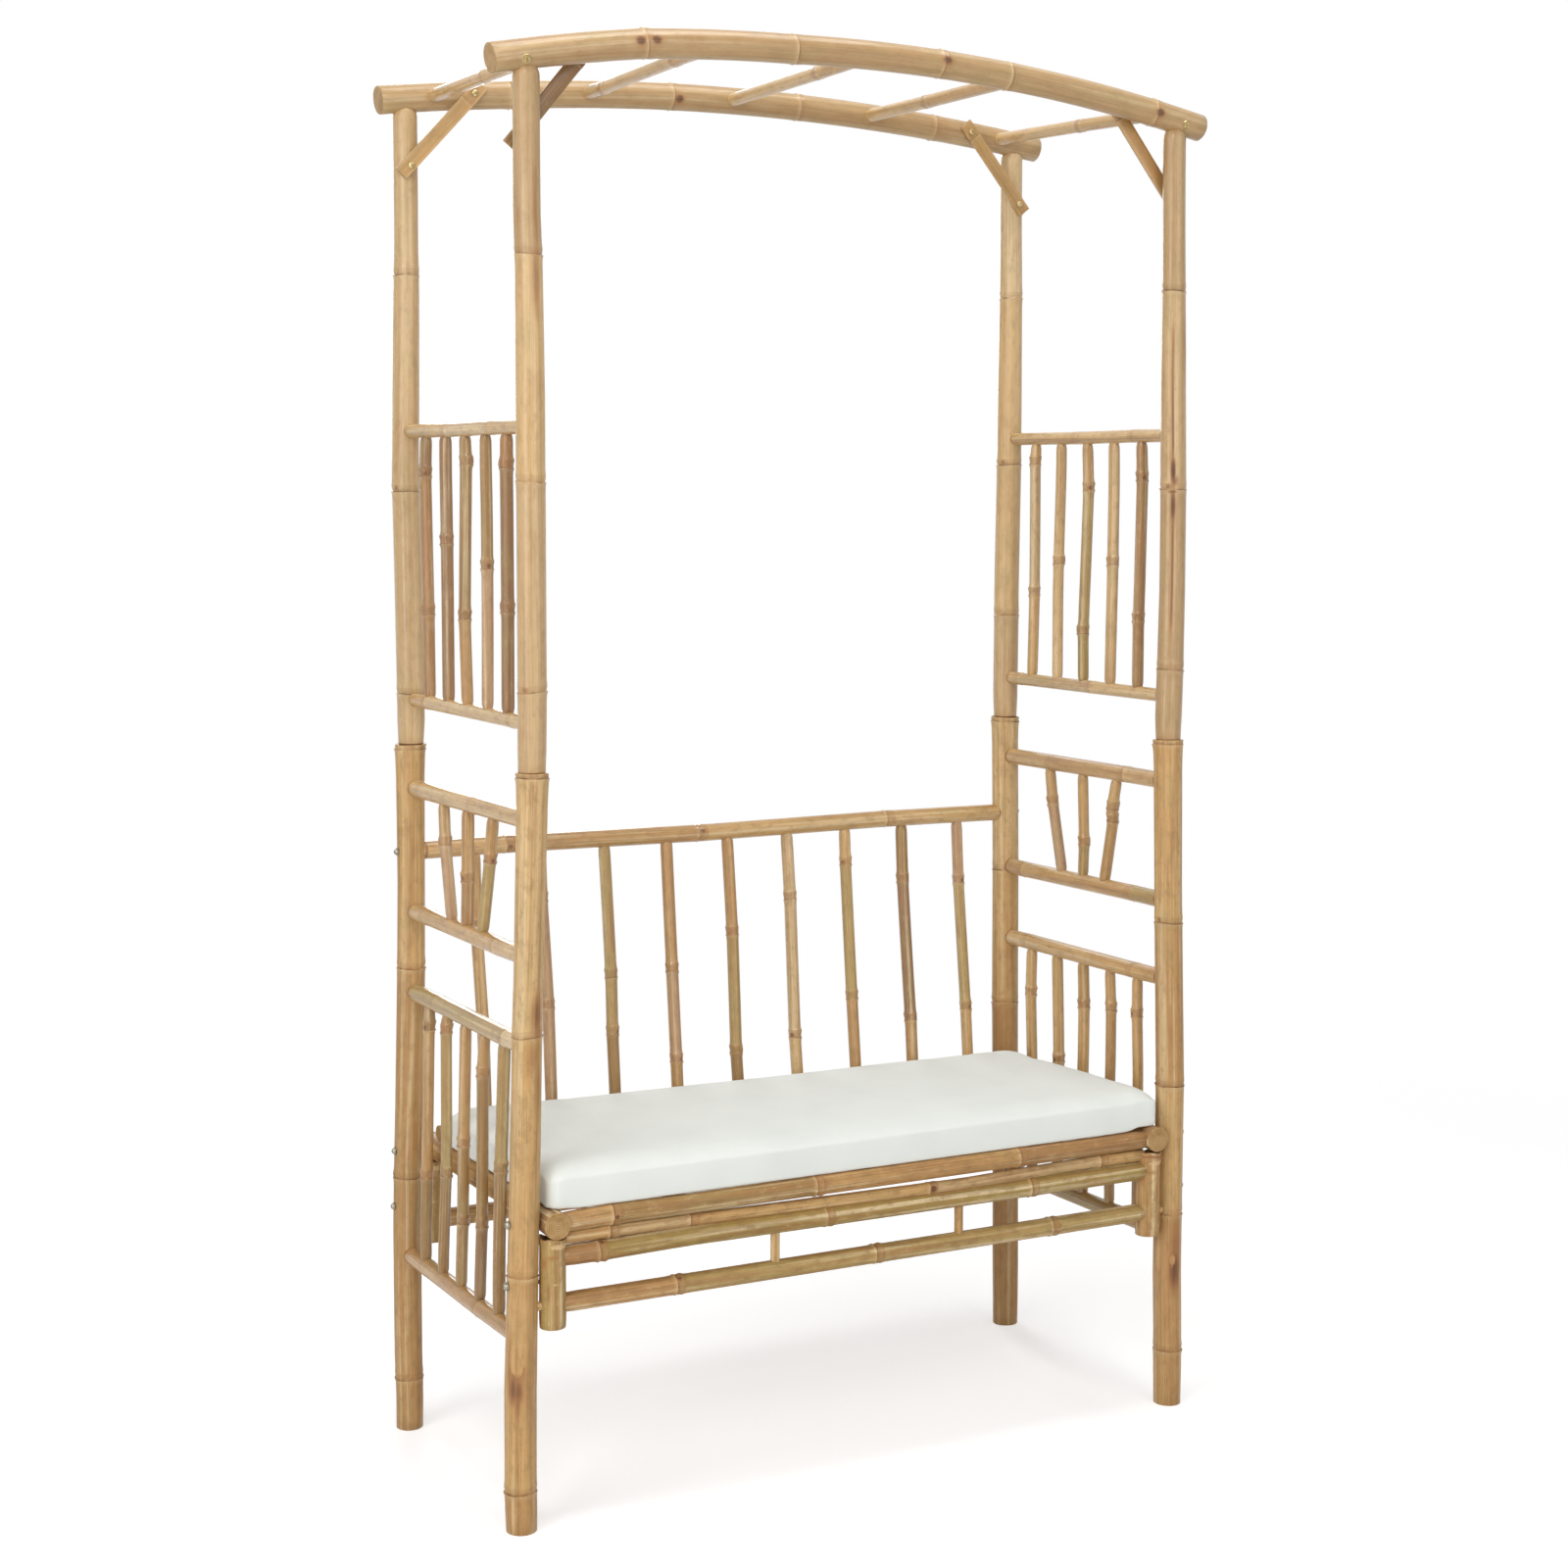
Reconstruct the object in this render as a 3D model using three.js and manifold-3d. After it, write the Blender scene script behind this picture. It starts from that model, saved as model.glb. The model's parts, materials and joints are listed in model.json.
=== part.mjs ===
// Bamboo arbour seat: four two-piece posts carry two arched roof beams, slatted side panels,
// a reclined backrest and a slatted bench with a loose cushion.
// Millimetres. +Z is up, the front faces -Y and +X is the viewer's right.
// The origin is on the ground, in the middle of the four feet.
import * as THREE from "three";
import { mergeVertices } from "three/addons/utils/BufferGeometryUtils.js";
import Module from "manifold-3d";

const wasm = await Module();
wasm.setup();

// Overall sizes: between post centres, and from the ground to the beam ends.
const postSpacingWide = 1040;
const postSpacingDeep = 436;
const beamEndHeight = 1929;
const frontBeamRise = 51;
const backBeamRise = 43;
const beamOverhang = 38;

// Posts: a thick lower culm and a thinner upper culm, joined on a hidden dowel.
const postJointHeight = 1014;
const lowerPostRadius = 21;
const upperPostRadius = 19;
const dowelRadius = 11;
const dowelReach = 42;

// Roof. A post top is coped to the beam and goes into it with a turned tenon.
const beamRadius = 20;
const beamTenonRadius = 9;
const beamTenonDepth = 20;
const beamCopeDepth = 6;
const crossBarRadius = 9.5;
const crossBarTenon = 8;
const crossBarShares = [-0.923, -0.4615, 0, 0.4615, 0.923];
const braceDrop = 95;
const braceReach = 93;
const braceWidth = 20;
const braceThickness = 6;
const braceOverrun = 17;

// Side panels: heights of the rail centres. Rails go into the posts, bars into the rails.
const railTenon = 14;
const lowerRailRadius = 12.5;
const upperRailRadius = 10;
const sideBottomHeight = 262;
const armHeight = 652;
const fanBottomHeight = 770;
const fanTopHeight = 951;
const upperPanelBottomHeight = 1079;
const upperPanelTopHeight = 1466;
const balusterRadius = 8.5;
const balusterTenon = 7;
const balusterShares = [-0.642, -0.321, 0, 0.321, 0.642];
const fanTopShares = [-0.413, 0, 0.413];
const fanBottomShares = [-0.257, 0, 0.257];

// Seat frame: side culms inside the posts, on stub posts, with rails and aprons between them.
const seatRailHeight = 416;
const sideCulmRadius = 17.5;
const sideCulmClearance = 0.5;
const sideCulmOverhang = 25;
const apronOffset = 9;
const seatRailRadius = 12;
const seatRailTenon = 10;
const thinBarHeight = 393;
const thinBarRadius = 7;
const thickRailHeight = 367;
const thickRailRadius = 13.5;
const apronLowHeight = 304;
const apronLowRadius = 13.5;
const spigotRadius = 6;
const spigotDepth = 10;
const stubRadius = 17;
const stubBottomHeight = 269;
const stubCopeDepth = 8;
const spacerRadius = 6.5;
const spacerTenon = 5;
const spacerShares = [-0.288, 0.288];

// Slat mat of split culm under the cushion, on bearers that go into the front and back rails.
const slatCount = 8;
const slatThickness = 6;
const slatGapShare = 0.14;
const matSideGap = 1;
const bearerWidth = 24;
const bearerThickness = 12;
const bearerLetIn = 2;
const bearerTenon = 8;
const bearerShares = [-0.62, 0, 0.62];

// Backrest: its bottom rail lies on the side culms, its top rail is in the back posts.
const backTopHeight = 857;
const backTopRadius = 13;
const backBottomRadius = 12;
const backBottomForward = 44;
const backBottomOverrun = 12;
const backBarRadius = 9.5;
const backBarTenon = 7;
const backBarCount = 9;
const backBarStepShare = 0.201;

// Cushion: a crowned pad with sides drawn in between its corners.
const cushionThickness = 46;
const cushionCrown = 7;
const cushionForward = 10;
const cushionSideGap = 4;
const cushionBackGap = 2;
const cushionDrawIn = 10;
const cushionCorner = 30;
const cushionSideSteps = 6;
// From the middle of its underside to the middle of its top: the share of the half depth that
// a ring keeps, the share of the thickness that it lies at, and the share of the crown.
const cushionRingShares = [
  [0.5, 0, 0],
  [0.93, 0, 0],
  [0.985, 0.1, 0],
  [1, 0.35, 0],
  [1, 0.65, 0],
  [0.985, 0.92, 0],
  [0.94, 1, 0.1],
  [0.8, 1, 0.45],
  [0.55, 1, 0.8],
  [0.25, 1, 0.95],
];

// Bolts from the outside of the lower posts into the side culms and the stub posts.
const boltRadius = 3;
const boltHeadRadius = 5;
const boltHeadHeight = 3.5;
const washerRadius = 7;
const washerThickness = 1.5;
const stubBoltHeight = 334;

// Gap between pieces that touch, and the number of flats on each round form.
const fitGap = 0.3;
const postFlats = 16;
const railFlats = 12;
const barFlats = 8;
const beamSteps = 12;

const finishes = {
  lowerCulm: { color: "#c9a873", roughness: 0.45, metalness: 0 },
  upperCulm: { color: "#d2b582", roughness: 0.45, metalness: 0 },
  beamCulm: { color: "#bfa272", roughness: 0.5, metalness: 0 },
  panelCulm: { color: "#b08d5b", roughness: 0.45, metalness: 0 },
  apronCulm: { color: "#a58850", roughness: 0.4, metalness: 0 },
  dowelWood: { color: "#c8b088", roughness: 0.7, metalness: 0 },
  canvas: { color: "#e4e7e0", roughness: 0.95, metalness: 0 },
  steel: { color: "#b4b2aa", roughness: 0.35, metalness: 1 },
};

const wide = postSpacingWide / 2;
const deep = postSpacingDeep / 2;
const sideCulmPlace = wide - lowerPostRadius - sideCulmClearance - sideCulmRadius;
const apronPlace = deep + apronOffset;
const matTop = seatRailHeight + sideCulmRadius - fitGap;
const seatTop = seatRailHeight + sideCulmRadius + fitGap;

const sides = [
  { name: "left", x: -1 },
  { name: "right", x: 1 },
];
const ends = [
  { name: "front", y: -1 },
  { name: "back", y: 1 },
];
const corners = ends.flatMap((end) =>
  sides.map((side) => ({ name: end.name + "_" + side.name, x: side.x, y: end.y })),
);
const at = (x, y, z) => new THREE.Vector3(x, y, z);
const together = (solids) => solids.reduce((whole, next) => whole.add(next));

// A closed geometry as a solid.
function solid(geometry) {
  const bare = geometry.clone();
  bare.deleteAttribute("normal");
  bare.deleteAttribute("uv");
  const merged = mergeVertices(bare);
  return new wasm.Manifold(
    new wasm.Mesh({
      numProp: 3,
      vertProperties: merged.attributes.position.array,
      triVerts: new Uint32Array(merged.index.array),
    }),
  );
}

// Turns a geometry that lies along +Y so that it lies along the line, and centres it there.
function layAlong(geometry, from, to) {
  const direction = to.clone().sub(from).normalize();
  const middle = from.clone().add(to).divideScalar(2);
  geometry.applyQuaternion(new THREE.Quaternion().setFromUnitVectors(at(0, 1, 0), direction));
  return geometry.translate(middle.x, middle.y, middle.z);
}

// A round rod between two points. A grown rod is thicker and longer, to cut a seat for it.
function rod(from, to, radius, flats, grow = 0) {
  const length = from.distanceTo(to) + grow + grow;
  const round = new THREE.CylinderGeometry(radius + grow, radius + grow, length, flats);
  return solid(layAlong(round, from, to));
}

function slab(low, high) {
  const size = high.clone().sub(low);
  const middle = low.clone().add(high).divideScalar(2);
  const box = new THREE.BoxGeometry(size.x, size.y, size.z);
  return solid(box.translate(middle.x, middle.y, middle.z));
}

// A roof beam's centre line: an arc of a circle over both posts.
class RoofArc extends THREE.Curve {
  constructor(y, rise) {
    super();
    this.y = y;
    this.halfSpan = wide + beamOverhang;
    this.radius = (this.halfSpan ** 2 + rise ** 2) / (rise + rise);
    this.centreHeight = beamEndHeight + rise - this.radius;
    this.halfAngle = Math.asin(this.halfSpan / this.radius);
  }
  getPoint(t, target = new THREE.Vector3()) {
    const angle = THREE.MathUtils.lerp(-this.halfAngle, this.halfAngle, t);
    const height = this.centreHeight + this.radius * Math.cos(angle);
    return target.set(this.radius * Math.sin(angle), this.y, height);
  }
  heightAt(x) {
    return this.centreHeight + Math.sqrt(this.radius ** 2 - x ** 2);
  }
}
const roofArcs = {
  front: new RoofArc(-deep, frontBeamRise),
  back: new RoofArc(deep, backBeamRise),
};
const roofArcOver = (corner) => (corner.y < 0 ? roofArcs.front : roofArcs.back);

function wholeBeam(arc, grow) {
  const section = new THREE.Shape().absarc(0, 0, beamRadius + grow, 0, Math.PI * 2);
  const options = { steps: beamSteps, curveSegments: postFlats / 2, extrudePath: arc };
  return solid(new THREE.ExtrudeGeometry(section, options));
}

function beamTenon(corner, grow) {
  const saddle = roofArcOver(corner).heightAt(wide) - beamRadius;
  const from = at(corner.x * wide, corner.y * deep, saddle - beamTenonDepth);
  const to = at(corner.x * wide, corner.y * deep, saddle + beamTenonDepth);
  return rod(from, to, beamTenonRadius, barFlats, grow);
}

function roofBeam(end, grow) {
  const over = corners.filter((corner) => corner.y === end.y);
  return over.reduce(
    (beam, corner) => beam.subtract(beamTenon(corner, fitGap)),
    wholeBeam(roofArcs[end.name], grow),
  );
}

function lowerPost(corner, grow) {
  const foot = at(corner.x * wide, corner.y * deep, 0);
  const top = at(corner.x * wide, corner.y * deep, postJointHeight);
  return rod(foot, top, lowerPostRadius, postFlats, grow);
}

function upperPost(corner, grow) {
  const arc = roofArcOver(corner);
  const topHeight = arc.heightAt(wide) - beamRadius + beamCopeDepth;
  const foot = at(corner.x * wide, corner.y * deep, postJointHeight + fitGap);
  const top = at(corner.x * wide, corner.y * deep, topHeight);
  const culm = rod(foot, top, upperPostRadius, postFlats, grow);
  return culm.subtract(wholeBeam(arc, fitGap)).add(beamTenon(corner, grow));
}

function postDowel(corner, grow) {
  const from = at(corner.x * wide, corner.y * deep, postJointHeight - dowelReach);
  const to = at(corner.x * wide, corner.y * deep, postJointHeight + dowelReach);
  return rod(from, to, dowelRadius, railFlats, grow);
}

function roofCrossBar(share, grow) {
  const x = share * wide;
  const reach = deep - beamRadius + crossBarTenon;
  const from = at(x, -reach, roofArcs.front.heightAt(x));
  const to = at(x, reach, roofArcs.back.heightAt(x));
  return rod(from, to, crossBarRadius, barFlats, grow);
}

// A square-cut strip of split culm across the corner, on the inner side of the beam. A thicker post
// is cut for it.
function cornerBrace(corner) {
  const arc = roofArcOver(corner);
  const inner = wide - braceReach;
  const place = corner.y * (deep - beamRadius - fitGap - braceThickness / 2);
  const onPost = at(corner.x * wide, place, arc.heightAt(wide) - braceDrop);
  const onBeam = at(corner.x * inner, place, arc.heightAt(inner));
  const length = onPost.distanceTo(onBeam) + braceOverrun + braceOverrun;
  const strip = new THREE.BoxGeometry(length, braceThickness, braceWidth);
  const along = onBeam.clone().sub(onPost);
  const middle = onPost.clone().add(onBeam).divideScalar(2);
  strip.rotateY(Math.atan2(-along.z, along.x));
  return solid(strip.translate(middle.x, middle.y, middle.z));
}

// A side panel's rail, from one post into the other.
function sideRail(side, height, radius, grow) {
  const postRadius = height < postJointHeight ? lowerPostRadius : upperPostRadius;
  const reach = deep - postRadius + railTenon;
  const from = at(side.x * wide, -reach, height);
  const to = at(side.x * wide, reach, height);
  return rod(from, to, radius, railFlats, grow);
}

// A side panel's rail with the bars that stand on it and reach up into the rail above.
function sideBars(side, low, high, radius, lowShares, highShares, grow) {
  const bars = lowShares.map((lowShare, i) => {
    const from = at(side.x * wide, lowShare * deep, low);
    const to = at(side.x * wide, highShares[i] * deep, high - radius + balusterTenon);
    return rod(from, to, balusterRadius, barFlats, grow);
  });
  return together([sideRail(side, low, radius, grow), ...bars]);
}

function seatSideCulm(side, grow) {
  const reach = deep + sideCulmOverhang;
  const from = at(side.x * sideCulmPlace, -reach, seatRailHeight);
  const to = at(side.x * sideCulmPlace, reach, seatRailHeight);
  return rod(from, to, sideCulmRadius, postFlats, grow);
}

function stubPost(corner, grow) {
  const topHeight = seatRailHeight - sideCulmRadius + stubCopeDepth;
  const from = at(corner.x * sideCulmPlace, corner.y * apronPlace, stubBottomHeight);
  const to = at(corner.x * sideCulmPlace, corner.y * apronPlace, topHeight);
  return rod(from, to, stubRadius, postFlats, grow);
}

// A rail across the seat, between two pieces of one radius on the line of the side culms.
function crossRail(end, height, radius, carrierRadius, grow) {
  const reach = sideCulmPlace - carrierRadius + seatRailTenon;
  const from = at(-reach, end.y * apronPlace, height);
  const to = at(reach, end.y * apronPlace, height);
  return rod(from, to, radius, railFlats, grow);
}

// The low apron rail has thin spigots that go on through the stub posts into the posts.
function apronLowRail(end, grow) {
  const reach = wide - lowerPostRadius + spigotDepth;
  const from = at(-reach, end.y * apronPlace, apronLowHeight);
  const to = at(reach, end.y * apronPlace, apronLowHeight);
  const spigots = rod(from, to, spigotRadius, barFlats, grow);
  return crossRail(end, apronLowHeight, apronLowRadius, stubRadius, grow).add(spigots);
}

function frontApronLowRail(grow) {
  const front = ends[0];
  const spacers = spacerShares.map((share) => {
    const top = thickRailHeight - thickRailRadius + spacerTenon;
    const from = at(share * wide, front.y * apronPlace, apronLowHeight);
    const to = at(share * wide, front.y * apronPlace, top);
    return rod(from, to, spacerRadius, barFlats, grow);
  });
  return together([apronLowRail(front, grow), ...spacers]);
}

// Slats run from side culm to side culm, a little short of where those are round at their height.
function slatMat(grow) {
  const slatBottom = matTop - slatThickness;
  const drop = seatRailHeight - slatBottom;
  const halfWidth = sideCulmPlace - Math.sqrt(sideCulmRadius ** 2 - drop ** 2) - matSideGap;
  const halfDepth = apronPlace - seatRailRadius - matSideGap;
  const pitch = (halfDepth + halfDepth) / slatCount;
  const halfGap = (pitch * slatGapShare) / 2;
  const slats = Array.from({ length: slatCount }, (_, i) => {
    const front = i * pitch - halfDepth;
    const low = at(-halfWidth, front + halfGap, slatBottom);
    const high = at(halfWidth, front + pitch - halfGap, matTop);
    return slab(low, high);
  });
  const bearers = bearerShares.map((share) => {
    const left = share * sideCulmPlace - bearerWidth / 2;
    const reach = apronPlace - seatRailRadius + bearerTenon;
    const top = slatBottom + bearerLetIn;
    const low = at(left - grow, -reach - grow, top - bearerThickness - grow);
    const high = at(left + bearerWidth + grow, reach + grow, top + grow);
    return slab(low, high);
  });
  return together([...slats, ...bearers]);
}

const backBottomHeight = seatTop + backBottomRadius;
const backBottomPlace = deep - backBottomForward;

function backTopRail(grow) {
  const reach = wide - lowerPostRadius + railTenon;
  const from = at(-reach, deep, backTopHeight);
  const to = at(reach, deep, backTopHeight);
  return rod(from, to, backTopRadius, railFlats, grow);
}

function backBars(grow) {
  const reach = sideCulmPlace + backBottomOverrun;
  const low = at(0, backBottomPlace, backBottomHeight);
  const lean = at(0, deep, backTopHeight).sub(low);
  const bar = lean.clone().setLength(lean.length() - backTopRadius + backBarTenon);
  const bars = Array.from({ length: backBarCount }, (_, i) => {
    const place = (i - (backBarCount - 1) / 2) * backBarStepShare * wide;
    const from = at(place, low.y, low.z);
    return rod(from, from.clone().add(bar), backBarRadius, barFlats, grow);
  });
  const from = at(-reach, low.y, low.z);
  const to = at(reach, low.y, low.z);
  return together([rod(from, to, backBottomRadius, railFlats, grow), ...bars]);
}

// The cushion's rings follow a rounded oblong whose sides are drawn in between the corners.
function cushion() {
  const halfWide = wide - lowerPostRadius - cushionSideGap;
  const back = backBottomPlace - backBottomRadius - cushionBackGap;
  const front = -deep - cushionForward;
  const halfDeep = (back - front) / 2;
  const middle = (back + front) / 2;
  const innerWide = halfWide - cushionCorner;
  const innerDeep = halfDeep - cushionCorner;
  const outline = new THREE.Shape().moveTo(-innerWide, -halfDeep);
  outline.quadraticCurveTo(0, cushionDrawIn - halfDeep, innerWide, -halfDeep);
  outline.quadraticCurveTo(halfWide, -halfDeep, halfWide, -innerDeep);
  outline.quadraticCurveTo(halfWide - cushionDrawIn, 0, halfWide, innerDeep);
  outline.quadraticCurveTo(halfWide, halfDeep, innerWide, halfDeep);
  outline.quadraticCurveTo(0, halfDeep - cushionDrawIn, -innerWide, halfDeep);
  outline.quadraticCurveTo(-halfWide, halfDeep, -halfWide, innerDeep);
  outline.quadraticCurveTo(cushionDrawIn - halfWide, 0, -halfWide, -innerDeep);
  outline.quadraticCurveTo(-halfWide, -halfDeep, -innerWide, -halfDeep);
  const around = outline.getPoints(cushionSideSteps).slice(0, -1);
  const points = [];
  for (const [keep, rise, crown] of cushionRingShares) {
    const inset = halfDeep * (1 - keep);
    const height = seatTop + rise * cushionThickness + crown * cushionCrown;
    for (const p of around) {
      const x = (p.x * (halfWide - inset)) / halfWide;
      points.push(x, middle + p.y * keep, height);
    }
  }
  const bottomPole = points.length / 3;
  points.push(0, middle, seatTop);
  points.push(0, middle, seatTop + cushionThickness + cushionCrown);
  const faces = [];
  const turns = around.length;
  const last = (cushionRingShares.length - 1) * turns;
  for (let i = 0; i < turns; i++) {
    const next = (i + 1) % turns;
    faces.push(bottomPole, next, i);
    faces.push(bottomPole + 1, last + i, last + next);
    for (let ring = 0; ring < last; ring += turns) {
      faces.push(ring + i, ring + next, ring + turns + next);
      faces.push(ring + i, ring + turns + next, ring + turns + i);
    }
  }
  const geometry = new THREE.BufferGeometry().setIndex(faces);
  return solid(geometry.setAttribute("position", new THREE.Float32BufferAttribute(points, 3)));
}

// A round-headed bolt with its washer, turned in one outline from the tip to the head.
function sideBolt(corner, height, grow) {
  const outside = wide + lowerPostRadius + fitGap;
  const length = outside - sideCulmPlace;
  const washerTop = length + washerThickness;
  const headTop = washerTop + boltHeadHeight;
  const outline = [
    [0, -grow],
    [boltRadius + grow, -grow],
    [boltRadius + grow, length],
    [washerRadius, length],
    [washerRadius, washerTop],
    [boltHeadRadius, washerTop],
    [boltHeadRadius, washerTop + boltHeadHeight / 2],
    [boltHeadRadius / 2, headTop],
    [0, headTop],
  ].map(([radius, along]) => new THREE.Vector2(radius, along));
  const turned = new THREE.LatheGeometry(outline, barFlats).translate(0, -headTop / 2, 0);
  const from = at(corner.x * sideCulmPlace, corner.y * deep, height);
  const to = at(corner.x * (sideCulmPlace + headTop), corner.y * deep, height);
  return solid(layAlong(turned, from, to));
}

// The pieces, in the order in which they give way: each is cut to seat those after it.
const pieces = [];
const add = (assembly, name, finish, make) => pieces.push({ assembly, name, finish, make });
const eachCorner = (assembly, name, finish, make) => {
  for (const corner of corners) {
    add(assembly, corner.name + name, finish, (grow) => make(corner, grow));
  }
};

eachCorner("posts", "_lower_post", "lowerCulm", lowerPost);
eachCorner("posts", "_upper_post", "upperCulm", upperPost);
eachCorner("seat", "_stub_post", "apronCulm", stubPost);
for (const end of ends) {
  add("roof", end.name + "_roof_beam", "beamCulm", (grow) => roofBeam(end, grow));
}
for (const side of sides) {
  const rail = (name, height, radius) =>
    add("panels", side.name + name, "panelCulm", (grow) => sideRail(side, height, radius, grow));
  const bars = (name, low, high, radius, lowShares, highShares) =>
    add("panels", side.name + name, "panelCulm", (grow) =>
      sideBars(side, low, high, radius, lowShares, highShares, grow),
    );
  add("seat", side.name + "_seat_side_culm", "apronCulm", (grow) => seatSideCulm(side, grow));
  rail("_upper_panel_top_rail", upperPanelTopHeight, upperRailRadius);
  bars(
    "_upper_panel_balusters",
    upperPanelBottomHeight,
    upperPanelTopHeight,
    upperRailRadius,
    balusterShares,
    balusterShares,
  );
  rail("_fan_top_rail", fanTopHeight, lowerRailRadius);
  bars(
    "_fan_bars",
    fanBottomHeight,
    fanTopHeight,
    lowerRailRadius,
    fanBottomShares,
    fanTopShares,
  );
  rail("_arm_rail", armHeight, lowerRailRadius);
  bars(
    "_lower_balusters",
    sideBottomHeight,
    armHeight,
    lowerRailRadius,
    balusterShares,
    balusterShares,
  );
}
for (const end of ends) {
  add("seat", "seat_" + end.name + "_rail", "apronCulm", (grow) =>
    crossRail(end, seatRailHeight, seatRailRadius, sideCulmRadius, grow),
  );
}
add("seat", "front_apron_thin_bar", "apronCulm", (grow) =>
  crossRail(ends[0], thinBarHeight, thinBarRadius, stubRadius, grow),
);
add("seat", "front_apron_thick_rail", "apronCulm", (grow) =>
  crossRail(ends[0], thickRailHeight, thickRailRadius, stubRadius, grow),
);
add("seat", "front_apron_low_rail", "apronCulm", frontApronLowRail);
add("seat", "back_apron_low_rail", "apronCulm", (grow) => apronLowRail(ends[1], grow));
add("backrest", "backrest_top_rail", "panelCulm", backTopRail);
add("backrest", "backrest_bars", "panelCulm", backBars);
eachCorner("posts", "_post_dowel", "dowelWood", postDowel);
crossBarShares.forEach((share, i) => {
  add("roof", "roof_cross_bar_" + (i + 1), "upperCulm", (grow) => roofCrossBar(share, grow));
});
eachCorner("roof", "_corner_brace", "upperCulm", cornerBrace);
add("seat", "seat_slat_mat", "dowelWood", slatMat);
eachCorner("seat", "_seat_bolt", "steel", (corner, grow) =>
  sideBolt(corner, seatRailHeight, grow),
);
eachCorner("seat", "_stub_bolt", "steel", (corner, grow) =>
  sideBolt(corner, stubBoltHeight, grow),
);
add("seat", "seat_cushion", "canvas", cushion);

const solids = pieces.map((piece) => piece.make(0));
pieces.forEach((piece, i) => {
  for (let j = i + 1; j < pieces.length; j++) {
    if (solids[i].intersect(solids[j]).isEmpty()) continue;
    solids[i] = solids[i].subtract(pieces[j].make(fitGap));
  }
});

// Each solid becomes a mesh placed at the middle of its own box, in its assembly's group.
const group = new THREE.Group();
const assemblies = {};
pieces.forEach(({ assembly, name, finish }, i) => {
  const mesh = solids[i].getMesh();
  const geometry = new THREE.BufferGeometry();
  geometry.setAttribute("position", new THREE.BufferAttribute(mesh.vertProperties, mesh.numProp));
  geometry.setIndex(new THREE.BufferAttribute(mesh.triVerts, 1));
  geometry.computeBoundingBox();
  const middle = geometry.boundingBox.getCenter(new THREE.Vector3());
  geometry.translate(-middle.x, -middle.y, -middle.z);
  const material = new THREE.MeshStandardMaterial({ ...finishes[finish], flatShading: true });
  const part = new THREE.Mesh(geometry, material);
  part.name = name;
  part.position.copy(middle);
  if (!assemblies[assembly]) {
    assemblies[assembly] = new THREE.Group();
    group.add(assemblies[assembly]);
  }
  assemblies[assembly].add(part);
});

export default group;
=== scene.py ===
"""A bamboo arbour seat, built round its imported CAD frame: an arched roof on four two-piece posts,
slatted sides, a leaning backrest, and a slatted bench with a loose canvas cushion. Metres, Z up."""
import json
import math
import random

import bmesh
import bpy
from mathutils import Matrix, Vector, noise

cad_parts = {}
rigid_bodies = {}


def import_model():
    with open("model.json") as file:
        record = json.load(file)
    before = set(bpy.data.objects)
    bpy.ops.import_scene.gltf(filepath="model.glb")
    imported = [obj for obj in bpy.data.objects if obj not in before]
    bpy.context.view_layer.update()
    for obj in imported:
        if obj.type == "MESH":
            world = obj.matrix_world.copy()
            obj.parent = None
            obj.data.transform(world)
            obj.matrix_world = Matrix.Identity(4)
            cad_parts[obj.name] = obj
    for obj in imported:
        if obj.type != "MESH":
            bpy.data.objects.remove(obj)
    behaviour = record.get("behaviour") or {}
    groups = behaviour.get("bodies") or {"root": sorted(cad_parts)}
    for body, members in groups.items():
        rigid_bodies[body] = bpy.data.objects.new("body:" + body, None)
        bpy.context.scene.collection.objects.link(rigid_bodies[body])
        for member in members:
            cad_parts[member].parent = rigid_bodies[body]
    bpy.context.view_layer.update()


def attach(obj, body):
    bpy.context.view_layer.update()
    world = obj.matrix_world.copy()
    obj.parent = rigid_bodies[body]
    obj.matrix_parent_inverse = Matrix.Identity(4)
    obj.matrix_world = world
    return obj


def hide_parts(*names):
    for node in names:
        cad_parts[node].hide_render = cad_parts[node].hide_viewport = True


MM = 0.001
FULL_TURN = 2.0 * math.pi
UP = Vector((0.0, 0.0, 1.0))

for leftover in list(bpy.data.objects):
    bpy.data.objects.remove(leftover)
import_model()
scene = bpy.context.scene
chance = random.Random(27)


# Camera: the photograph's place, turn and lens, found from the posts, the beams and the cushion.
def make_camera():
    yaw = math.radians(28.24)
    dip = math.radians(4.156)
    roll = math.radians(0.208)
    level = Vector((math.sin(yaw), math.cos(yaw), 0.0))
    side = Vector((math.cos(yaw), -math.sin(yaw), 0.0))
    ahead = level * math.cos(dip) - UP * math.sin(dip)
    above = UP * math.cos(dip) + level * math.sin(dip)
    right = side * math.cos(roll) + above * math.sin(roll)
    top = above * math.cos(roll) - side * math.sin(roll)
    turn = Matrix((right, top, -ahead)).transposed().to_4x4()
    lens = bpy.data.cameras.new("camera")
    lens.sensor_width = 36.0
    lens.lens = 60.37
    lens.shift_y = -0.07
    camera = bpy.data.objects.new("camera", lens)
    camera.matrix_world = Matrix.Translation((-1.8376, -3.3893, 1.3936)) @ turn
    scene.collection.objects.link(camera)
    scene.camera = camera


make_camera()


# Materials.
def colour(value):
    """Linear red, green, blue and alpha, from an sRGB hex value or a linear grey level."""
    if isinstance(value, float):
        return (value, value, value, 1.0)
    levels = [int(value[place:place + 2], 16) / 255.0 for place in (1, 3, 5)]
    linear = [v / 12.92 if v <= 0.04045 else ((v + 0.055) / 1.055) ** 2.4 for v in levels]
    return (*linear, 1.0)


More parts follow.
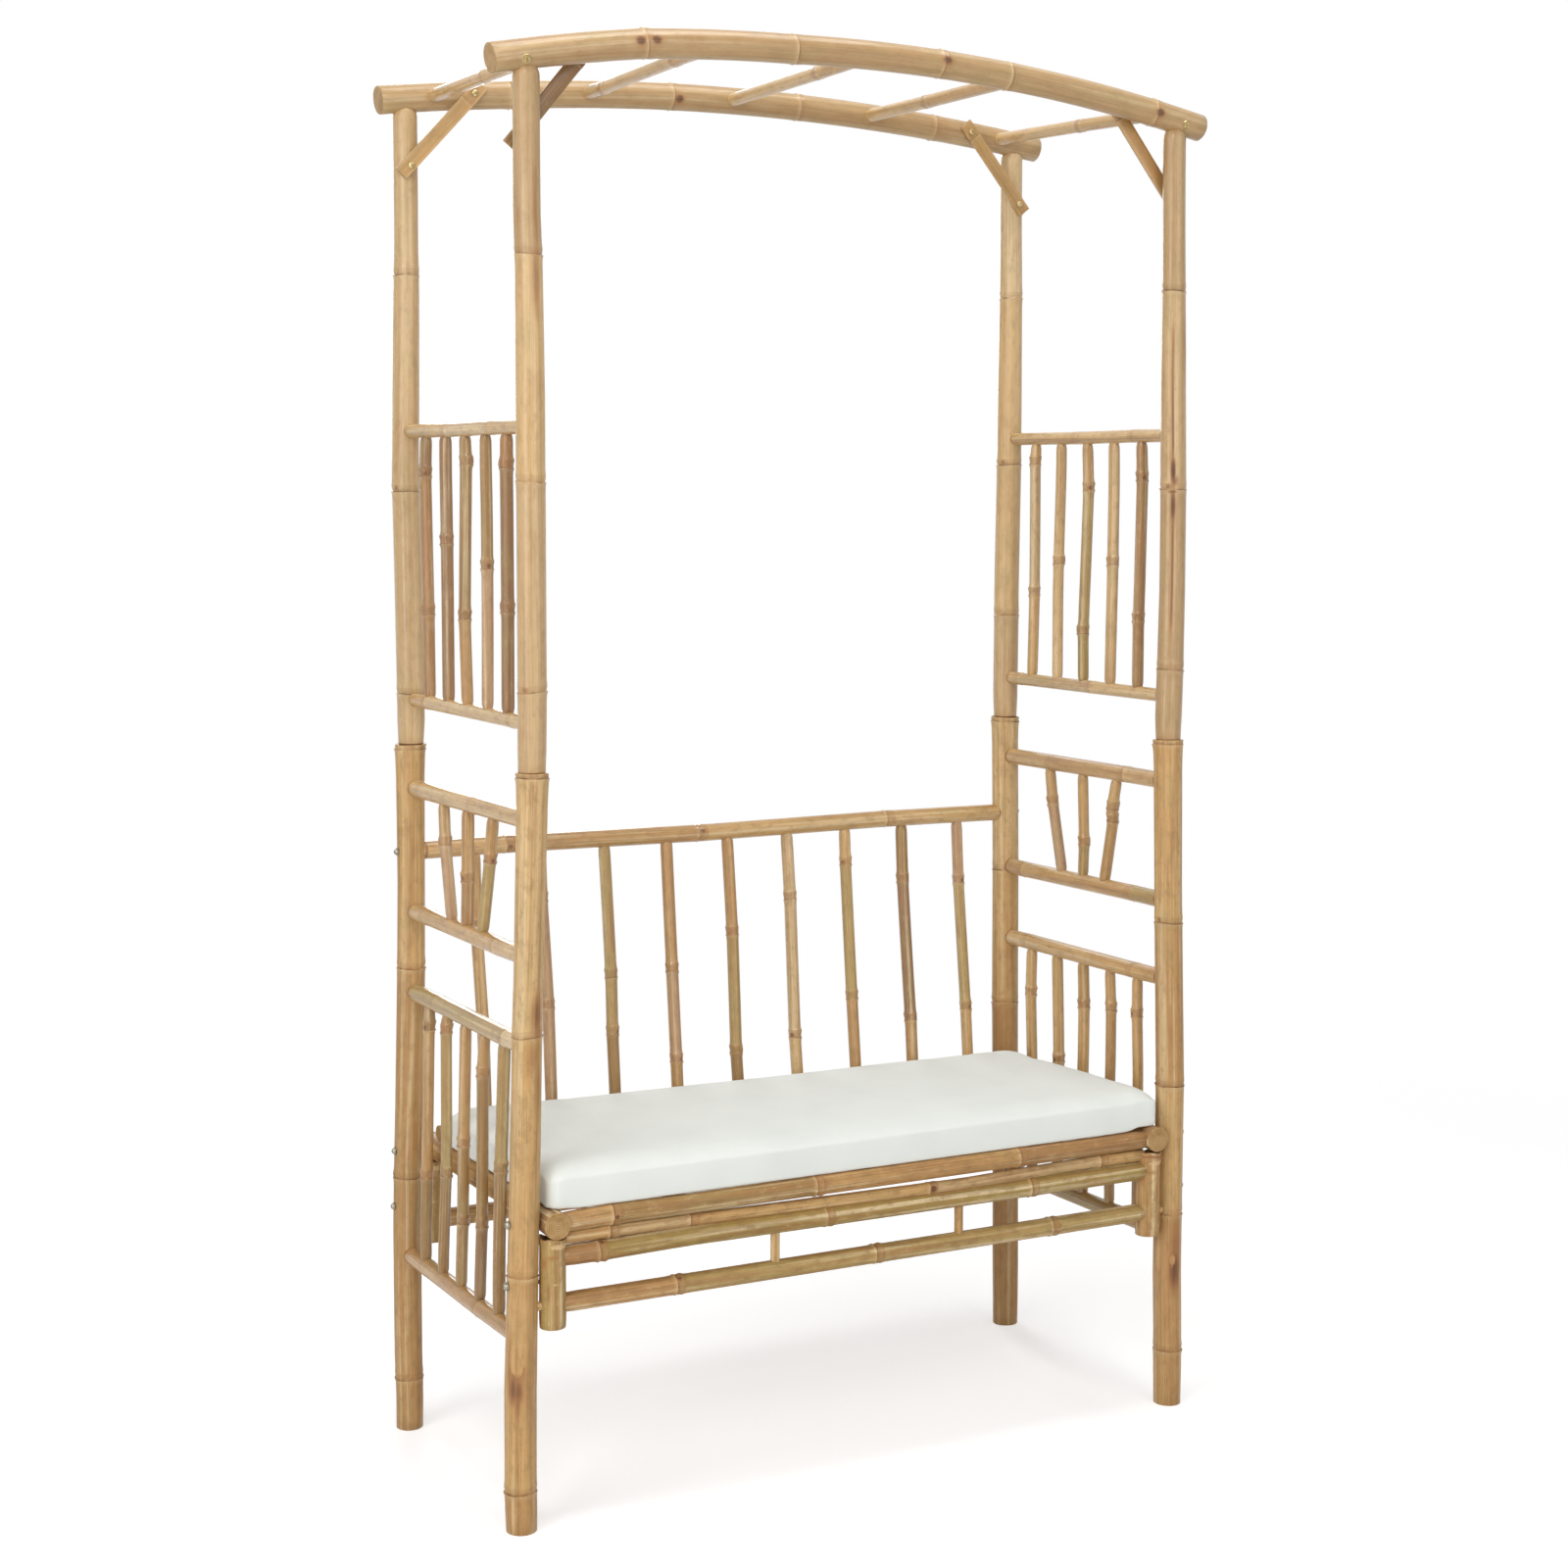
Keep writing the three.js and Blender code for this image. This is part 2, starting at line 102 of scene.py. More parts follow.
def add(tree, kind, inputs=(), stops=(), output=0, **settings):
    """Adds a shader node and gives the output that is asked for. Its inputs are values or links,
    by socket or in order from the first one, and a ramp's stops are (place, hex value or grey
    level)."""
    made = tree.nodes.new("ShaderNode" + kind)
    for name, value in settings.items():
        setattr(made, name, value)
    for socket, value in inputs.items() if isinstance(inputs, dict) else enumerate(inputs):
        if isinstance(value, bpy.types.NodeSocket):
            tree.links.new(value, made.inputs[socket])
        else:
            made.inputs[socket].default_value = value
    if stops:
        ramp = made.color_ramp.elements
        while len(ramp) < len(stops):
            ramp.new(0.5)
        for element, (place, value) in zip(ramp, stops):
            element.position = place
            element.color = colour(value)
    return made.outputs[output] if made.outputs else None


def new_material(name):
    material = bpy.data.materials.new(name)
    material.use_nodes = True
    material.node_tree.nodes.clear()
    return material, material.node_tree


def blend_in(tree, share, under, over, mode="MIX"):
    """Lays one colour over another by a share from 0 to 1. Each is a socket or a hex value."""
    under, over = (colour(side) if isinstance(side, str) else side for side in (under, over))
    return add(
        tree, "Mix", {0: share, 6: under, 7: over}, output=2,
        data_type="RGBA", blend_type=mode, clamp_factor=True,
    )


# Bamboo's natural tones. Each length between two node rings takes one of them.
TONES = {
    "pale": colour("#DABC8E"),
    "straw": colour("#D0AC78"),
    "sand": colour("#C6A577"),
    "dun": colour("#B8976B"),
    "honey": colour("#C69D65"),
    "tan": colour("#B88D58"),
    "olive": colour("#B0935A"),
    "moss": colour("#A08548"),
    "rose": colour("#B68F69"),
    "russet": colour("#A67B4E"),
    "drab": colour("#9C7947"),
    "umber": colour("#8F6B46"),
}


def bamboo(name, streaks, mottling, knuckle, knuckle_end, gloss, varnish):
    """Varnished bamboo: satin skin, long fibres, a dark scar and a waxy band at each node ring.
    It reads the culm's own straight coordinates, so that the grain follows a bent culm.
    Knuckle is how brown the swelling past a scar is, knuckle_end how far past it goes, gloss
    the skin's roughness and varnish the weight of the clear coat on it."""
    material, tree = new_material(name)
    grain, tint, ring, near, cut, burn = (
        add(tree, "Attribute", output=kind, attribute_name=layer)
        for layer, kind in (("grain", "Vector"), ("tint", "Color"), ("ring", "Fac"),
                            ("near", "Fac"), ("cut", "Fac"), ("burn", "Fac"))
    )

    def stretched(across, along, detail, roughness):
        # The scales are in cells per metre.
        placed = add(tree, "Mapping", {"Vector": grain, "Scale": (across, across, along)})
        return add(
            tree, "TexNoise",
            {"Vector": placed, "Scale": 1.0, "Detail": detail, "Roughness": roughness},
            output="Fac",
        )

    fibres = stretched(480.0, 6.0, 4.0, 0.65)
    bands = stretched(130.0, 2.2, 3.0, 0.55)
    patches = stretched(42.0, 16.0, 4.0, 0.6)
    flecks = stretched(420.0, 75.0, 2.0, 0.7)
    blotches = stretched(95.0, 42.0, 5.0, 0.68)

    shifts = (
        # Bands 8 mm wide drift between a paler and a browner straw.
        (bands, ((0.34, mottling), (0.47, 0.0)), "#DFC9A0"),
        (bands, ((0.52, 0.0), (0.66, mottling)), "#A0764A"),
        # Patches 25 mm across go a little olive, or a little brown.
        (patches, ((0.52, 0.0), (0.66, 0.30)), "#A8935E"),
        (patches, ((0.34, 0.28), (0.46, 0.0)), "#A67A4C"),
        # Blotches 10 mm across, which weathering leaves, go duller or paler.
        (blotches, ((0.51, 0.0), (0.64, 0.7 * mottling)), "#94734A"),
        (blotches, ((0.34, 0.4 * mottling), (0.45, 0.0)), "#CDAF80"),
    )
    skin = tint
    for pattern, stops, shade in shifts:
        skin = blend_in(tree, add(tree, "ValToRGB", (pattern,), stops), skin, shade)
    # Fibres 2 mm wide, drawn coarser than the real half millimetre so that they show.
    threads = add(
        tree, "ValToRGB", (fibres,),
        ((0.37, 1.0 - streaks), (0.50, 1.0), (0.66, 1.0 + 0.3 * streaks)),
    )
    skin = blend_in(tree, 1.0, skin, threads, "MULTIPLY")
    specks = add(tree, "ValToRGB", (flecks,), ((0.69, 0.0), (0.76, 0.5)))
    skin = blend_in(tree, specks, skin, "#7A5B38")

    # Node rings: "ring" is the distance past the scar in metres, stretched to the culm's size,
    # and "near" is how strongly that ring shows.
    from_ring = add(tree, "MapRange", (ring, -0.02, 0.02, 0.0, 1.0))
    broken = add(tree, "MapRange", (patches, 0.40, 0.58, 0.25, 1.0))
    waxy = add(
        tree, "ValToRGB", (from_ring,),
        ((0.30, 0.0), (0.42, 0.20), (0.48, 0.35), (0.494, 0.0)),
    )
    waxy = add(tree, "Math", (waxy, near), operation="MULTIPLY")
    skin = blend_in(tree, waxy, skin, "#DFC495")
    far_end = 0.5 + knuckle_end / 0.04
    swollen = add(
        tree, "ValToRGB", (from_ring,),
        ((0.49, 0.0), (0.53, knuckle), (far_end - 0.04, 0.7 * knuckle), (far_end, knuckle),
         (far_end + 0.03, 0.0)),
    )
    beside = add(tree, "Math", (near, 2.0), operation="MULTIPLY", use_clamp=True)
    swollen = add(tree, "Math", (swollen, beside), operation="MULTIPLY")
    skin = blend_in(tree, swollen, skin, "#9A6D43")
    seen = add(tree, "Math", (near, broken), operation="MULTIPLY")
    stain = add(
        tree, "ValToRGB", (from_ring,),
        ((0.492, 0.0), (0.500, 0.95), (0.522, 0.95), (0.545, 0.25), (0.62, 0.0)),
    )
    stain = add(tree, "Math", (stain, seen), operation="MULTIPLY")
    skin = blend_in(tree, stain, skin, blend_in(tree, broken, "#A5723C", "#65411F"))

    # Burn marks and knots, and painted shade at joints, in drilled holes and inside hollow
    # culms: brown at the edge and nearly black within. Below zero it is the paler wood where
    # the skin has peeled.
    uneven = add(tree, "MapRange", (fibres, 0.3, 0.7, 0.6, 1.4))
    burnt_and_shaded = add(tree, "Math", (burn, uneven), operation="MULTIPLY")
    peeled = add(tree, "MapRange", (burnt_and_shaded, -0.25, -0.45, 0.0, 0.8))
    skin = blend_in(tree, peeled, skin, "#DDBB8B")
    share = add(
        tree, "ValToRGB", (burnt_and_shaded,), ((0.06, 0.0), (0.30, 0.60), (0.55, 0.92), (1.0, 0.97))
    )
    scorch_and_shade = add(
        tree, "ValToRGB", (burnt_and_shaded,),
        ((0.05, "#B28148"), (0.35, "#966239"), (0.70, "#6C4830"), (1.0, "#4A3022")),
    )
    skin = blend_in(tree, share, skin, scorch_and_shade)

    # Sawn ends: growth rings 3 mm apart round the culm's axis, with darker pores.
    flat = add(tree, "VectorMath", (grain, (1.0, 1.0, 0.0)), operation="MULTIPLY")
    reach = add(tree, "VectorMath", (flat,), output="Value", operation="LENGTH")
    turns = add(tree, "Math", (reach, 2100.0), operation="MULTIPLY")
    wave = add(tree, "Math", (turns,), operation="SINE")
    ringed = add(tree, "MapRange", (wave, -1.0, 1.0, 0.0, 0.75))
    pith = add(
        tree, "ValToRGB", (patches,),
        ((0.35, "#B58F5C"), (0.50, "#C6A473"), (0.65, "#A98452")),
    )
    sawn = blend_in(tree, ringed, pith, "#94703F")
    sawn = blend_in(tree, specks, sawn, "#7A5630")
    skin = blend_in(tree, cut, skin, sawn)

    shine = add(tree, "MapRange", (patches, 0.3, 0.7, gloss - 0.05, gloss + 0.10))
    rough = add(tree, "Math", (cut, 0.35, shine), operation="MULTIPLY_ADD")
    relief = add(tree, "Bump", {"Height": fibres, "Strength": 0.35, "Distance": 0.06 * MM})
    shader = add(
        tree, "BsdfPrincipled",
        {"Base Color": skin, "Roughness": rough, "Normal": relief, "IOR": 1.5,
         "Specular IOR Level": 0.2, "Coat Weight": varnish, "Coat Roughness": 0.11},
    )
    add(tree, "OutputMaterial", {"Surface": shader})
    return material


def canvas():
    """Cotton canvas, woven and dyed off-white: matt, with a fine square weave."""
    material, tree = new_material("woven_canvas_off_white")
    place = add(tree, "TexCoord", output="Object")
    # Threads 1.2 mm apart, twice the real spacing, so that the weave shows.
    spun = add(
        tree, "Mapping",
        {"Vector": place, "Scale": (5200.0, 5200.0, 5200.0), "Rotation": (0.6, 0.35, 0.0)},
    )
    warp, weft = (
        add(tree, "Math", (add(tree, "SeparateXYZ", (spun,), output=axis),), operation="SINE")
        for axis in (0, 1)
    )
    weave = add(tree, "Math", (warp, weft), operation="MULTIPLY")
    slubs = add(
        tree, "TexNoise", {"Vector": place, "Scale": 260.0, "Detail": 3.0, "Roughness": 0.6},
        output="Fac",
    )
    cloudy = add(tree, "TexNoise", {"Vector": place, "Scale": 7.0, "Detail": 3.0}, output="Fac")
    tone = add(
        tree, "ValToRGB", (cloudy,), ((0.30, "#E6EAE5"), (0.55, "#EBEFEA"), (0.80, "#F0F3EE"))
    )
    threads = add(tree, "MapRange", (weave, -1.0, 1.0, 0.0, 0.10))
    tone = blend_in(tree, threads, tone, "#C6CAC2")
    height = add(tree, "Math", (slubs, 0.6, weave), operation="MULTIPLY_ADD")
    relief = add(tree, "Bump", {"Height": height, "Strength": 0.35, "Distance": 0.12 * MM})
    shader = add(
        tree, "BsdfPrincipled",
        {"Base Color": tone, "Roughness": 0.92, "Normal": relief, "IOR": 1.45,
         "Sheen Weight": 0.15, "Sheen Roughness": 0.5},
    )
    add(tree, "OutputMaterial", {"Surface": shader})
    return material


def plated(name, dull, bright):
    """Plated steel, turned: grey or brassy, with fine scratches and a duller bloom."""
    material, tree = new_material(name)
    place = add(tree, "TexCoord", output="Object")
    scratches, bloom = (
        add(tree, "TexNoise", {"Vector": place, "Scale": scale, "Detail": detail}, output="Fac")
        for scale, detail in ((1400.0, 3.0), (240.0, 2.0))
    )
    tone = add(tree, "ValToRGB", (bloom,), ((0.35, dull), (0.65, bright)))
    rough = add(tree, "MapRange", (scratches, 0.3, 0.7, 0.28, 0.48))
    shader = add(tree, "BsdfPrincipled", {"Base Color": tone, "Roughness": rough, "Metallic": 1.0})
    add(tree, "OutputMaterial", {"Surface": shader})
    return material


def dowel_beech():
    """Turned beech, unfinished: pinkish, close-grained and matt."""
    material, tree = new_material("turned_beech_dowel")
    place = add(tree, "TexCoord", output="Object")
    along = add(tree, "Mapping", {"Vector": place, "Scale": (600.0, 600.0, 25.0)})
    lines = add(tree, "TexNoise", {"Vector": along, "Scale": 1.0, "Detail": 3.0}, output="Fac")
    tone = add(tree, "ValToRGB", (lines,), ((0.30, "#C39A6B"), (0.70, "#DDBB8D")))
    relief = add(tree, "Bump", {"Height": lines, "Strength": 0.3, "Distance": 0.05 * MM})
    shader = add(tree, "BsdfPrincipled", {"Base Color": tone, "Roughness": 0.7, "Normal": relief})
    add(tree, "OutputMaterial", {"Surface": shader})
    return material


# Each finish: a material, and the name of its slot. The numbers of a bamboo are its streaks,
# mottling, knuckle, knuckle_end, gloss and varnish.
LOWER = (bamboo("varnished_bamboo_lower_posts", 0.18, 0.55, 0.25, 0.009, 0.48, 0.20), "lower_culm")
UPPER = (bamboo("varnished_bamboo_upper_posts", 0.13, 0.32, 0.20, 0.009, 0.38, 0.50), "upper_culm")
BEAM = (bamboo("varnished_bamboo_beams", 0.13, 0.34, 0.25, 0.009, 0.42, 0.40), "beam_culm")
CROSS = (bamboo("varnished_bamboo_cross_bars", 0.15, 0.40, 0.55, 0.014, 0.28, 0.65), "beam_culm")
PANEL = (bamboo("varnished_bamboo_panels", 0.18, 0.55, 0.45, 0.014, 0.36, 0.60), "panel_culm")
APRON = (bamboo("varnished_bamboo_seat_frame", 0.22, 0.80, 0.65, 0.014, 0.54, 0.10), "apron_culm")
CANVAS = (canvas(), "canvas")
ZINC = (plated("zinc_plated_steel", "#8E8B80", "#B3AE9F"), "steel")
BRASSY = (plated("yellow_zinc_plated_steel", "#A08A5A", "#CDBB8C"), "steel")
BEECH = (dowel_beech(), "dowel_wood")


# Pieces.
def keep_piece(shape, name, finish, nodes, body="frame", crease=50.0):
    """Makes an object of a bmesh, puts it on the body it rides on, and hides the CAD nodes it
    stands for.
    """
    material, slot = finish
    mesh = bpy.data.meshes.new(name)
    shape.to_mesh(mesh)
    shape.free()
    mesh.shade_smooth()
    mesh.set_sharp_from_angle(angle=math.radians(crease))
    mesh.materials.append(material)
    piece = bpy.data.objects.new(name, mesh)
    scene.collection.objects.link(piece)
    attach(piece, body)
    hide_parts(*nodes)
    return piece


def lathe(outline, steps):
    """A closed round body: the outline of (radius, height) points turned once about Z."""
    shape = bmesh.new()
    line = [shape.verts.new((reach, 0.0, height)) for reach, height in outline]
    edges = [shape.edges.new(pair) for pair in zip(line, line[1:])]
    bmesh.ops.spin(
        shape, geom=line + edges, cent=(0.0, 0.0, 0.0), axis=(0.0, 0.0, 1.0),
        angle=FULL_TURN, steps=steps, use_merge=True,
    )
    bmesh.ops.remove_doubles(shape, verts=shape.verts, dist=0.001 * MM)
    bmesh.ops.recalc_face_normals(shape, faces=shape.faces)
    return shape


def turned_piece(name, outline, steps, spot, out, finish, nodes):
    """A lathe piece whose foot lies at a spot, and which points out from there."""
    shape = lathe(outline, steps)
    turn = UP.rotation_difference(Vector(out)).to_matrix().to_4x4()
    bmesh.ops.transform(shape, matrix=Matrix.Translation(spot) @ turn, verts=shape.verts)
    keep_piece(shape, name, finish, nodes, crease=35.0)


def reading(table, place):
    """The value at a place in a table of (place, value) rows, straight between the rows."""
    if place <= table[0][0]:
        return table[0][1]
    for (low, low_value), (high, high_value) in zip(table, table[1:]):
        if place <= high:
            share = (place - low) / (high - low)
            return low_value + (high_value - low_value) * share
    return table[-1][1]


def limited(value, least, most):
    return max(least, min(most, value))


def rounded(shape, edges, width, segments):
    bmesh.ops.bevel(
        shape, geom=edges, offset=width, affect="EDGES", segments=segments, profile=0.5, material=-1
    )


def skin_layers(shape):
    """The layers that bamboo() reads: grain is a culm's own straight coordinates, tint its
    tone, ring the distance past the nearest node ring, near how strongly that ring shows, cut
    1 on sawn wood, and the last one how dark the burns, knots and painted shade are."""
    layers = shape.verts.layers
    grain = layers.float_vector.new("grain")
    tint = layers.float_color.new("tint")
    return grain, tint, *[layers.float.new(name) for name in ("ring", "near", "cut", "burn")]


# Node rings in outline: distance past the scar in metres, and height as a share of the ridge.
# A thick culm has a sharp lip and a low swelling, and a thin one two ridges of one height.
THICK_NODE = [
    (-16 * MM, 0.0), (-8 * MM, 0.1), (-3.5 * MM, 0.3), (-1.5 * MM, 0.6), (-0.7 * MM, 0.9),
    (-0.2 * MM, 1.0), (0.3 * MM, 0.8), (0.9 * MM, -0.1), (1.8 * MM, -0.2), (3.5 * MM, 0.0),
    (6.5 * MM, 0.35), (9 * MM, 0.4), (12 * MM, 0.25), (16 * MM, 0.08), (20 * MM, 0.0),
]
THIN_NODE = [
    (-12 * MM, 0.0), (-6 * MM, 0.15), (-3 * MM, 0.45), (-1.2 * MM, 0.9), (-0.4 * MM, 1.0),
    (0.3 * MM, 0.9), (1.0 * MM, 0.45), (2.5 * MM, 0.35), (5.0 * MM, 0.4), (8.0 * MM, 0.6),
    (10.5 * MM, 0.9), (12.5 * MM, 1.1), (14.0 * MM, 1.0), (15.5 * MM, 0.6), (18 * MM, 0.25),
    (22 * MM, 0.06), (26 * MM, 0.0),
]
# How far from a ring its marks are still drawn, and the greatest distance that is kept.
NODE_REACH = 0.024
FAR_FROM_RING = 0.05
BEVEL = 0.8 * MM
# A bud's middle lies this far past its ring, and a hollow culm's wall is this thick.
BUD_PLACE = 5.5 * MM
WALL_THICK = 4.0 * MM
# A groove fades out over this length at each end.
GROOVE_FADE = 50 * MM
# A strip's node rings are this much shorter than a thick culm's.
STRIP_REACH = 0.6


def past_ring(rings, s, reach):
    """The node ring nearest to a place, and how far past it that is on a thick culm's scale."""
    if not rings:
        return None, FAR_FROM_RING
    ring = min(rings, key=lambda r: abs(s - r))
    return ring, limited((s - ring) / reach, -FAR_FROM_RING, FAR_FROM_RING)


def straight(start, end, lean=None):
    """The way of a straight culm: its length, and a function from its own space to the frame's."""
    start = Vector(start)
    along = Vector(end) - start
    length = along.length
    along.normalize()
    across = UP if abs(along.y) > 0.9 else Vector((0.0, 1.0, 0.0))
    first = across.cross(along).normalized()
    second = along.cross(first)

    def place(x, y, s):
        point = start + first * x + second * y + along * s
        return lean(point) if lean else point

    return length, place


def culm(name, way, radius, finish, nodes, rings=(), tones="straw", steps=24, ridge=1.2 * MM,
         reach=0.85, profile=THIN_NODE, girth=None, sway=0.6 * MM, tilt=0.5 * MM, oval=0.015,
         flute=0.010, buds=(), grooves=(), burns_and_shades=(), hollow=0.0, cope=None, pitch=22 * MM,
         bow=0.0, bow_turn=0.0, kinks=None, scar=1.0, knot=0.8, knot_shade=0.65):
    """A bamboo culm with its node rings, slight bends, knots, grooves and sawn ends. Places
    along it run from 0 to its length, angles are in degrees about it, and tones names one tone
    for each stretch between its rings."""
    length, place = way
    rings = sorted(rings)
    tones = tones.split()
    marks = [length * k / max(2, round(length / pitch)) for k in range(1, round(length / pitch))]
    marks = [s for s in marks if all(abs(s - r) > 20 * MM * reach for r in rings)]
    marks += [r + d * reach for r in rings for d, _ in profile]
    marks += [r + BUD_PLACE * reach + k * 2.0 * MM for r, _ in buds for k in (-2, -1, 1, 2)]
    marks += [s for s, _ in girth or ()]
    for _, low, high, _ in grooves:
        marks += [low, high]
    for middle, _, half_long, _, _ in burns_and_shades:
        marks += [middle + half_long * k / 4 for k in range(-5, 6)]
    marks = sorted(s for s in marks if BEVEL + 0.4 * MM < s < length - BEVEL - 0.4 * MM)
    spaced = [BEVEL]
    for s in marks:
        if s - spaced[-1] > 0.25 * MM:
            spaced.append(s)
    spaced.append(length - BEVEL)

    def wall(s):
        swelling = sum(reading(profile, (s - r) / reach) for r in rings) * ridge
        return radius * (reading(girth, s) if girth else 1.0) + swelling

    foot = wall(0.0)
    rim = wall(length)
    outline = [(0.0, 0.0), (foot * 0.55, 0.0), (foot - 2.2 * BEVEL, 0.0), (foot - BEVEL, 0.0)]
    outline += [(wall(s), s) for s in spaced]
    outline.append((rim - BEVEL, length))
    if hollow:
        floor = length - hollow
        outline += [(rim - WALL_THICK + BEVEL, length), (rim - WALL_THICK, length - BEVEL),
                    (rim - WALL_THICK, floor), (rim * 0.4, floor), (0.0, floor)]
    else:
        outline += [(rim - 2.2 * BEVEL, length), (rim * 0.55, length), (0.0, length)]
    shape = lathe(outline, steps)
    grain, tint, ring, near, cut, burn = skin_layers(shape)

    def around(angle, turn):
        return math.remainder(angle - math.radians(turn), FULL_TURN) * radius

    shift = chance.uniform(0.0, 40.0)
    phases = [chance.uniform(0.0, FULL_TURN) for _ in range(6)]
    heading = chance.uniform(0.0, FULL_TURN)
    if kinks is None:
        kinks = [(0.0, 0.0, 0.0)]
        for index, r in enumerate(rings):
            swing = heading + chance.uniform(-0.6, 0.6) + (math.pi if index % 2 else 0.0)
            size = sway * chance.uniform(0.6, 1.2)
            kinks.append((r, size * math.cos(swing), size * math.sin(swing)))
        kinks.append((length, 0.0, 0.0))
    kinks_x = [(s, x) for s, x, _ in kinks]
    kinks_y = [(s, y) for s, _, y in kinks]
    slants = {r: (tilt * chance.uniform(0.3, 1.0), chance.uniform(0.0, FULL_TURN)) for r in rings}
    scars = {r: scar * chance.uniform(0.6, 1.0) for r in rings}

    for vert in shape.verts:
        x, y, s = vert.co
        out = math.hypot(x, y)
        angle = math.atan2(y, x)
        own_ring, past = past_ring(rings, s, reach)
        vert[grain] = (x, y, s + shift)
        vert[ring] = past
        vert[near] = scars[own_ring] if abs(past) < NODE_REACH else 0.0
        on_end = s < 0.5 * BEVEL or s > length - 0.5 * BEVEL
        inside = bool(hollow) and out < rim - 0.6 * WALL_THICK and s > length - hollow - BEVEL
        vert[cut] = 1.0 if on_end or inside else 0.0
        between = sum(1 for r in rings if s > r + 0.1 * MM)
        vert[tint] = TONES[tones[between % len(tones)]]
        # Painted shade: the inside of a hollow culm is drawn dark.
        dark = 0.8 if inside else 0.0
        if out > 1e-6:
            share = out / max(wall(s), 1e-6)
            swell = oval * math.cos(2.0 * (angle - phases[0]))
            swell += 0.5 * flute * math.cos(3.0 * angle + phases[1])
            spot = Vector((2.2 * math.cos(angle), 2.2 * math.sin(angle), 1.6 * (s + shift)))
            swell += 1.4 * flute * noise.noise(spot)
            swell += 0.006 * noise.noise(Vector((x * 60.0, y * 60.0, (s + shift) * 14.0)))
            rise = swell * radius
            for r, turn in buds:
                size = (0.5 + reach) * knot
                up = (s - r - BUD_PLACE * reach) / (4.2 * MM * size)
                beside = around(angle, turn) / (3.6 * MM * size)
                bump = math.exp(-(up * up + beside * beside))
                rise += bump * ridge * 1.1 * share
                dark = max(dark, knot_shade * min(1.0, 1.7 * max(0.0, bump - 0.25)))
            for turn, low, high, depth in grooves:
                ends = limited(min(s - low, high - s) / GROOVE_FADE, 0.0, 1.0)
                dent = math.exp(-((around(angle, turn) / (3.2 * MM)) ** 2))
                rise -= dent * depth * ends
                dark = max(dark, 0.55 * dent * dent * ends)
            for middle, turn, half_long, half_wide, strength in burns_and_shades:
                beside = around(angle, turn) / half_wide
                away = ((s - middle) / half_long) ** 2 + beside ** 2
                if strength > 0.0:
                    dark = max(dark, strength * math.exp(-away))
                elif away < 2.0:
                    dark += strength * math.exp(-away)
            x *= 1.0 + rise / out * share
            y *= 1.0 + rise / out * share
            if rings:
                slant, turn = slants[own_ring]
                uneven = reading(profile, past) * ridge * 0.35 * math.cos(angle - 2.0 * turn)
                x += uneven * share * math.cos(angle)
                y += uneven * share * math.sin(angle)
                fade = max(0.0, 1.0 - abs(s - own_ring) / (30 * MM * reach))
                wave = math.cos(angle - turn) + 0.35 * math.sin(3.0 * angle + turn)
                s += slant * wave * fade
        if cope and s > length - cope[0]:
            s += cope[1](x, y) * min(1.0, (s - length + cope[0]) / cope[0])
        vert[burn] = dark
        sag = bow * math.sin(math.pi * limited(s / length, 0.0, 1.0))
        x += reading(kinks_x, s) + sag * math.cos(math.radians(bow_turn))
        y += reading(kinks_y, s) + sag * math.sin(math.radians(bow_turn))
        vert.co = place(x, y, s)
    bmesh.ops.recalc_face_normals(shape, faces=shape.faces)
    keep_piece(shape, name, finish, nodes)


def strip(name, start, end, skin_side, width, thick, arch, finish, nodes, tones, rings=()):
    """A strip of split culm, square at its ends, with its skin arched towards skin_side. Its
    tones are those of the skin and of the pith."""
    start = Vector(start)
    along = Vector(end) - start
    length = along.length
    along.normalize()
    out = Vector(skin_side).normalized()
    across = out.cross(along).normalized()
    shape = bmesh.new()
    count = max(8, round(length / (6 * MM)))
    bmesh.ops.create_grid(shape, x_segments=count, y_segments=8, size=0.5)
    grown = bmesh.ops.extrude_face_region(shape, geom=shape.faces[:])
    raised = [v for v in grown["geom"] if isinstance(v, bmesh.types.BMVert)]
    for vert in shape.verts:
        vert.co = Vector((vert.co.x * length, vert.co.y * width, -0.5 * thick))
    bmesh.ops.translate(shape, verts=raised, vec=(0.0, 0.0, thick))
    bmesh.ops.recalc_face_normals(shape, faces=shape.faces)
    corners = [e for e in shape.edges if e.calc_face_angle(0.0) > 1.0]
    rounded(shape, corners, 0.7 * MM, 2)
    grain, tint, ring, near, cut, burn = skin_layers(shape)
    shift = chance.uniform(0.0, 40.0)
    middle = start + along * (0.5 * length)
    for vert in shape.verts:
        x, y, z = vert.co
        s = x + 0.5 * length
        _, past = past_ring(rings, s, STRIP_REACH)
        on_skin = z > 0.1 * thick
        vert[grain] = (y, 0.02 + z, s + shift)
        vert[ring] = past
        vert[near] = 0.8 if abs(past) < NODE_REACH else 0.0
        vert[tint] = TONES[tones[0 if on_skin else 1]]
        at_end = abs(x) > 0.5 * length - 0.3 * MM
        vert[cut] = 1.0 if at_end else (0.0 if on_skin else 0.25)
        vert[burn] = 0.0
        z += arch * (1.0 - (2.0 * y / width) ** 2) - 0.5 * arch
        if rings:
            swell = reading(THIN_NODE, vert[ring])
            z += swell * 0.8 * MM
            y *= 1.0 + 0.05 * max(0.0, swell)
        vert.co = middle + along * x + across * y + out * z
    keep_piece(shape, name, finish, nodes)


